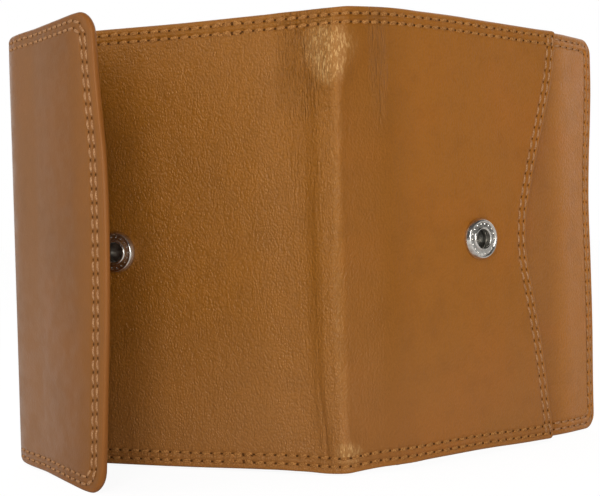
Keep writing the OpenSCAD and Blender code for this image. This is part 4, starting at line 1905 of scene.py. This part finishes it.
@dataclass
class ClosingTab:
    """The closing tab: a bending strap of two layers, sewn to the left half."""

    finishes: Finishes
    kit: StitchKit
    width: float = TAB_W
    skin: float = TAB_SKIN
    tip_length: float = 64.4
    tip_bend_r: float = 3.0
    root_bend_r: float = 2.2
    anchor_length: float = 13.7
    round_r: float = 11.2
    row: float = 1.7
    root_leg: float = 5.6
    layer_inset: float = 0.3
    groove_h: float = 0.1

    def __post_init__(self) -> None:
        """Lays out the strap's line from its tip to its sewn end."""
        thick, half = 2 * self.skin, math.radians(TAB_REST / 2)
        root_length = math.dist(TAB_ROOT_AXIS, TAB_TIP_AXIS)
        heading = math.radians(90.0 - TAB_REST)
        ahead, aside = math.cos(heading), math.sin(heading)
        start = (TAB_TIP_AXIS[0] + self.tip_length * ahead - thick * aside,
                 TAB_TIP_AXIS[1] + self.tip_length * aside + thick * ahead)
        extra, trim = thick * math.tan(half), self.tip_bend_r * math.tan(half)
        tip_leg = self.tip_length + extra - trim
        tip_arc = self.tip_bend_r * 2 * half
        root_straight = root_length + extra - trim - self.root_bend_r
        root_arc = self.root_bend_r * math.pi / 2
        self.line = SheetLine(start, 270.0 - TAB_REST, [
            (tip_leg, 0.0), (tip_arc, TAB_REST), (root_straight, 0.0), (root_arc, 90.0),
            (self.anchor_length + 1.0, 0.0)], soften=0.4)
        self.split = tip_leg + tip_arc + self.root_leg
        self.anchor = tip_leg + tip_arc + root_straight + root_arc
        self.low, self.high = TAB_MIDDLE - self.width / 2, TAB_MIDDLE + self.width / 2

    def _sheet(self, name: str, first: float, last: float, layer: int, **extra: object) -> Sheet:
        """Lays out one piece of the strap.

        Args:
            name: The piece's name.
            first: Where it starts along the strap.
            last: Where it ends.
            layer: 0 for the cover and 1 for the lining.
            extra: Further settings of the sheet.

        Returns:
            The sheet.
        """
        inset = self.layer_inset * layer
        return Sheet(name, self.line, constant(first + inset), constant(last),
                     constant(self.skin - 0.01), low=self.low + inset, high=self.high - inset,
                     depth=self.skin * layer, spacing=lambda s: 0.55, row_spacing=0.9,
                     fine_margin=1.4, **extra)

    def build(self) -> None:
        """Builds the cover, the lining, the sewn end and the seams."""
        tip = {"corner": (self.round_r, 0.0), "edges": (Edge.ROLLED, Edge.CUT)}
        cover = self._sheet("tab_skin", 0.0, self.split, 0, relief=self._relief, **tip)
        lining = self._sheet("tab_lining_skin", 0.0, self.split, 1, inner=True, **tip)
        root = {"inner": True, "edges": (Edge.CUT, Edge.ROLLED)}
        sewn = self._sheet("tab_end", self.split, self.anchor + self.anchor_length, 0,
                           corner=(0.0, 1.5), **root)
        sewn_lining = self._sheet("tab_end_lining", self.split - self.layer_inset,
                                  self.anchor + 1.8, 1, **root)
        row = round_end(cover, self.row, self.split, self.round_r - self.row, at_start=True)
        skin = cover.build(self.finishes.strap, Slot.STRAP)
        inside = lining.build(self.finishes.inner, Slot.INNER)
        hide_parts("tab_root_cover", "tab_tip_cover")
        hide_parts("tab_root_lining", "tab_tip_lining")
        for piece in (skin, inside, *self.kit.sew("seam_tab", cover, [row], FINE)):
            self._bend_tip(piece)
        end = sewn.build(self.finishes.strap, Slot.STRAP)
        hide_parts("tab_anchor")
        for piece in (end, sewn_lining.build(self.finishes.inner, Slot.INNER)):
            self._bend_root(piece)
        near, far = self.anchor + 3.2, self.anchor + self.anchor_length - self.row
        low, high = self.low + self.row, self.high - self.row
        box = run([(near, low), (far, low), (far, high), (near, high), (near, low)])
        for seam in self.kit.sew("seam_tab_end", sewn, [box], FINE):
            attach(seam, "left_half")
        log.info("closing tab: %d faces", len(skin.data.polygons))

    def _relief(self, s: Floats, z: Floats) -> Floats:
        """Gives the seam groove and the slow waves of the strap."""
        s, z = together(s, z)
        edge = np.minimum(np.minimum(z - self.low, self.high - z), s)
        waves = 0.1 * cloud(s, z, 14.0, 11.0, 31.0) * smooth(edge, 1, 5)
        return waves - self.groove_h * hump(edge, self.row, 0.4)

    @staticmethod
    def _bend_tip(piece: Piece) -> None:
        """Bakes a piece's placing into its points."""
        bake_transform(piece)

    @staticmethod
    def _bend_root(piece: Piece) -> None:
        """Bakes a piece's placing into its points."""
        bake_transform(piece)


@dataclass
class SoftNode:
    """A CAD node whose sharp edges are rounded off, with its own finish."""

    node: str
    body: str
    round_off: float
    segments: int = 3
    sharp: float = 40.0

    def build(self, material: Material, slot: Slot) -> None:
        """Copies the node, merges its faces and rounds its edges.

        Args:
            material: Its finish.
            slot: The record's slot.
        """
        source = frame["nodes"][self.node]
        piece = bpy.data.objects.new(self.node + "_soft", source.data.copy())
        piece.data.name = piece.name
        bpy.context.scene.collection.objects.link(piece)
        piece.data.transform(source.matrix_world)
        select_only(piece)
        with editing():
            bpy.ops.mesh.remove_doubles(threshold=1e-6)
            bpy.ops.mesh.dissolve_limited(angle_limit=math.radians(0.5))
        bpy.ops.object.modifier_add(type="BEVEL")
        bevel = piece.modifiers[-1]
        bevel.width, bevel.segments = self.round_off * MM, self.segments
        bevel.limit_method, bevel.angle_limit = "ANGLE", math.radians(self.sharp)
        bpy.ops.object.modifier_apply(modifier=bevel.name)
        with editing():
            bpy.ops.mesh.quads_convert_to_tris()
        finish(piece, material, slot)
        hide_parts(self.node)
        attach(piece, self.body)
        log.info("%s: %d faces", piece.name, len(piece.data.polygons))


@dataclass
class Snap:
    """A press-stud socket: ring, spring, sleeve and cap, made round its own axis."""

    name: str
    finishes: Finishes
    body: str
    nodes: tuple[str, str, str]
    spot: tuple[float, float, float]
    facing: Vector
    ring_r: float = 5.42
    ring_h: float = 1.5
    bore_r: float = 2.45
    cap_z: float = -1.4
    pips: int = 18
    pip_r: float = 0.2

    @staticmethod
    def _spin(name: str, profile: Sequence[Pair], steps: int = 72) -> Piece:
        """Spins a profile of radius and height round the z axis."""
        bpy.ops.mesh.primitive_circle_add(vertices=len(profile), radius=1, fill_type="NOTHING")
        ring = bpy.context.object
        ring.name = ring.data.name = name
        ring.data.vertices.foreach_set("co", np.array([(r, 0.0, h) for r, h in profile]).ravel())
        with editing():
            bpy.ops.mesh.spin(steps=steps, angle=2 * math.pi, center=(0, 0, 0), axis=(0, 0, 1))
            bpy.ops.mesh.select_all(action="SELECT")
            bpy.ops.mesh.remove_doubles(threshold=1e-4)
            bpy.ops.mesh.normals_make_consistent(inside=False)
        return ring

    @staticmethod
    def _arc(r: float, h: float, radius: float, start: float, end: float, steps: int = 6
             ) -> list[Pair]:
        """Gives points of an arc about a radius and height, between two angles in degrees."""
        angles = [math.radians(start + (end - start) * k / steps) for k in range(steps + 1)]
        return [(r + radius * math.cos(a), h + radius * math.sin(a)) for a in angles]

    def build(self) -> None:
        """Builds the socket and seats it."""
        r, h, bore = self.ring_r, self.ring_h, self.bore_r
        lip = self._arc(bore + 0.3, h - 0.32, 0.3, 180, 60)
        rim = self._arc(r - 0.85, h - 0.42, 0.42, 130, 20)
        ring = self._spin(self.nodes[0] + "_polished", [
            (bore + 0.12, -1.0), (bore, -0.2), (bore, h - 0.5), *lip, (bore + 0.62, h - 0.28),
            (r - 1.25, h - 0.3), *rim, (r - 0.12, h - 0.8), (r, h - 1.15), (r - 0.05, -0.25),
            (r - 0.6, -0.3), (bore + 0.9, -0.3)])
        self._add_pips(ring)
        wire = self._arc(bore + 0.1, 0.55, 0.2, 0, 315, 7)
        spring = self._spin(self.nodes[1] + "_wire", wire, 56)
        cap_z, inner, axis = self.cap_z, bore + 0.02, 0.001
        cap = self._spin(self.nodes[2] + "_domed", [
            (axis, cap_z - 0.45), (r - 1.4, cap_z - 0.45), (r - 0.8, cap_z - 0.2),
            (r - 0.7, cap_z + 0.3), (bore + 0.5, cap_z + 0.3), (bore + 0.45, -0.3), (inner, -0.3),
            (inner, cap_z + 0.1), (inner - 0.5, cap_z), (axis, cap_z)])
        for piece, material, slot, node in (
                (ring, self.finishes.chrome, Slot.CHROME, self.nodes[0]),
                (spring, self.finishes.steel, Slot.STEEL, self.nodes[1]),
                (cap, self.finishes.steel, Slot.STEEL, self.nodes[2])):
            self._seat(piece)
            finish(piece, material, slot, 40.0)
            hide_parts(node)
            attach(piece, self.body)
        log.info("%s: %d faces", self.name, len(ring.data.polygons))

    def _add_pips(self, ring: Piece) -> None:
        """Adds a circle of small plain pips to the face of the ring."""
        middle = (self.bore_r + self.ring_r) / 2 - 0.06
        for k in range(self.pips):
            angle = 2 * math.pi * k / self.pips
            spot = (middle * math.cos(angle), middle * math.sin(angle), self.ring_h - 0.3)
            bpy.ops.mesh.primitive_ico_sphere_add(subdivisions=1, radius=self.pip_r, location=spot)
            bpy.ops.object.transform_apply(location=True, rotation=False, scale=False)
            ring.select_set(True)
            bpy.context.view_layer.objects.active = ring
            bpy.ops.object.join()
            bpy.ops.object.select_all(action="DESELECT")

    def _seat(self, piece: Piece) -> None:
        """Brings a piece from its own axis to its place on the wallet."""
        turn = self.facing.to_track_quat("Z", "Y").to_matrix().to_4x4()
        move = Matrix.Translation(Vector(self.spot) * MM) @ turn @ Matrix.Scale(MM, 4)
        piece.data.transform(move)


class Studio:
    """Camera, light and floor.

    The camera stands in millimetres from the left crease. Each lamp is its name, its place and its
    size in metres, and its power in watts.
    """

    photo_w = 600
    focal_px = 1186.6
    sensor_mm = 36.0
    position = (88.92, -268.59, 59.98)
    yaw, pitch, roll = 19.283, 1.158, -1.472
    aim = (0.0, 0.0, 0.05)
    lamps = (("key_light", (0.11, -0.82, 0.45), (0.26, 0.62), 2.55),
             ("left_light", (-0.7, -0.36, 0.32), (0.5, 0.5), 0.85),
             ("front_light", (0.44, -0.72, 0.16), (0.3, 0.26), 2.0),
             ("right_light", (0.8, -0.3, 0.28), (0.4, 0.4), 0.25))
    floor_tone = (0.86, 0.86, 0.86, 1)
    floor_gap = 0.6
    floor_glow = 1.075
    floor_share = 0.87

    def build(self) -> None:
        """Sets up the studio."""
        self._camera()
        for lamp in self.lamps:
            self._area(*lamp)
        self._surround()
        self._floor()
        bpy.context.scene.view_settings.view_transform = "Standard"

    def _camera(self) -> None:
        """Places the camera as in the photograph."""
        yaw, pitch, roll = (math.radians(a) for a in (self.yaw, self.pitch, self.roll))
        level_right = Vector((math.cos(yaw), math.sin(yaw), 0))
        level = Vector((-math.sin(yaw), math.cos(yaw), 0))
        up = Vector((0, 0, 1)) * math.cos(pitch) + level * math.sin(pitch)
        ahead = level * math.cos(pitch) - Vector((0, 0, 1)) * math.sin(pitch)
        right = level_right * math.cos(roll) + up * math.sin(roll)
        above = up * math.cos(roll) - level_right * math.sin(roll)
        data = bpy.data.cameras.new("camera")
        data.sensor_width = self.sensor_mm
        data.lens = self.focal_px / self.photo_w * data.sensor_width
        data.clip_start, data.clip_end = 0.01, 20.0
        camera = bpy.data.objects.new("camera", data)
        bpy.context.scene.collection.objects.link(camera)
        place = Vector(self.position) + Vector((CREASE_A[0], CREASE_A[1], 0))
        turn = Matrix((right, above, -ahead)).transposed().to_4x4()
        camera.matrix_world = Matrix.Translation(place * MM) @ turn
        bpy.context.scene.camera = camera

    def _area(self, name: str, spot: Sequence[float], size: Pair, power: float) -> None:
        """Adds one soft lamp that points at the wallet.

        Args:
            name: The lamp's name.
            spot: Where it stands, in metres.
            size: Its width and height in metres.
            power: Its power in watts.
        """
        data = bpy.data.lights.new(name, "AREA")
        data.shape = "RECTANGLE"
        data.size, data.size_y = size
        data.energy = power
        lamp = bpy.data.objects.new(name, data)
        lamp.location = spot
        turn = (Vector(self.aim) - Vector(spot)).to_track_quat("-Z", "Y")
        lamp.rotation_euler = turn.to_euler()
        bpy.context.scene.collection.objects.link(lamp)

    @staticmethod
    def _surround() -> None:
        """Adds a surround that is white behind the wallet and dimmer in front and on the right."""
        world = bpy.data.worlds.new("surround")
        world.use_nodes = True
        world.cycles.sampling_method = "NONE"
        bpy.context.scene.world = world
        w = Wiring(world.node_tree)
        background = w.tree.nodes["Background"].inputs
        background["Color"].default_value = (1, 1, 1, 1)
        x, y, _ = w.axes(w.add("ShaderNodeTexCoord").outputs["Generated"])
        spread = w.math("MAXIMUM", w.ramp(x, -1.0, 1.0, 0.6, 0.22),
                        w.ramp(y, 0.05, 0.75, 0.0, 0.95))
        mirrored = w.math("MAXIMUM", w.ramp(y, 0.22, 0.8, 0.08, 1.5),
                          w.ramp(x, -0.6, -1.0, 0.08, 0.22))
        path = w.add("ShaderNodeLightPath").outputs
        seen = w.math("MAXIMUM", path["Is Camera Ray"], path["Is Transmission Ray"])
        level = w.add("ShaderNodeMapRange")
        w.link(path["Is Glossy Ray"], level.inputs["Value"])
        w.link(spread, level.inputs["To Min"])
        w.link(mirrored, level.inputs["To Max"])
        w.link(w.math("MAXIMUM", level.outputs["Result"], seen), background["Strength"])

    def _floor(self) -> None:
        """Adds the pale floor, white to the camera but with the wallet's shadow."""
        bpy.ops.mesh.primitive_grid_add(x_subdivisions=8, y_subdivisions=8, size=6,
                                        location=(0, 0, CAD_LOW.z - self.floor_gap * MM))
        floor = bpy.context.object
        floor.name = "floor"
        n = Nodes("floor")
        n.set(Base_Color=self.floor_tone, Roughness=0.9, Specular_IOR_Level=0.0)
        glow = n.add("ShaderNodeEmission")
        glow.inputs["Strength"].default_value = self.floor_glow
        mixed = n.add("ShaderNodeMixShader")
        seen = n.add("ShaderNodeLightPath").outputs["Is Camera Ray"]
        n.link(n.times(seen, self.floor_share), mixed.inputs["Fac"])
        n.link(n.shader.outputs["BSDF"], mixed.inputs[1])
        n.link(glow.outputs["Emission"], mixed.inputs[2])
        n.link(mixed.outputs["Shader"], n.tree.nodes["Material Output"].inputs["Surface"])
        floor.data.materials.append(n.material)
        floor.select_set(False)


def dress_nodes(finishes: Finishes) -> None:
    """Gives every node that still shows its finish.

    Args:
        finishes: The finishes.
    """
    looks = {Slot.OUTER: finishes.strip, Slot.STRAP: finishes.strap, Slot.INNER: finishes.inner,
             Slot.CLOTH: finishes.cloth, Slot.CHROME: finishes.chrome,
             Slot.STEEL: finishes.steel, Slot.FILM: finishes.film}
    slots = {part["node"]: part["material_slot"] for part in frame["record"]["subparts"]}
    for name, node in frame["nodes"].items():
        node.data.materials.clear()
        node.data.materials.append(looks[Slot(slots[name])])


def main() -> None:
    """Builds the wallet and the studio."""
    Studio().build()
    finishes = Finishes()
    dress_nodes(finishes)
    kit = StitchKit(finishes)
    skins = OuterSkins(finishes, kit)
    skins.build()
    skins.build_lining()
    RightHalf(finishes, kit).build()
    Flap(finishes, kit).build()
    LeftInside(finishes, kit).build()
    RightInside(finishes).build()
    ClosingTab(finishes, kit).build()
    for node, body, round_off in (("gusset_top", "left_half", 0.25),
                                  ("gusset_bottom", "left_half", 0.25),
                                  ("compartment_end", "left_half", 0.3),
                                  ("window_frame", "right_half", 0.25)):
        SoftNode(node, body, round_off).build(finishes.inner, Slot.INNER)
    heading = math.radians(OPEN_TURN)
    left_spot = (CREASE_A[0] + LEFT_SNAP[0], CREASE_A[1], LEFT_SNAP[1])
    right_spot = (CREASE_B[0] + RIGHT_SNAP[0] * math.cos(heading),
                  CREASE_B[1] + RIGHT_SNAP[0] * math.sin(heading), RIGHT_SNAP[1])
    Snap("left snap", finishes, "left_half",
         ("snap_ring_left", "snap_spring_left", "snap_cap_left"),
         left_spot, Vector((0, -1, 0))).build()
    Snap("right snap", finishes, "right_half",
         ("snap_ring_right", "snap_spring_right", "snap_cap_right"),
         right_spot, Vector((math.sin(heading), -math.cos(heading), 0))).build()


if __name__ == "__main__":
    main()
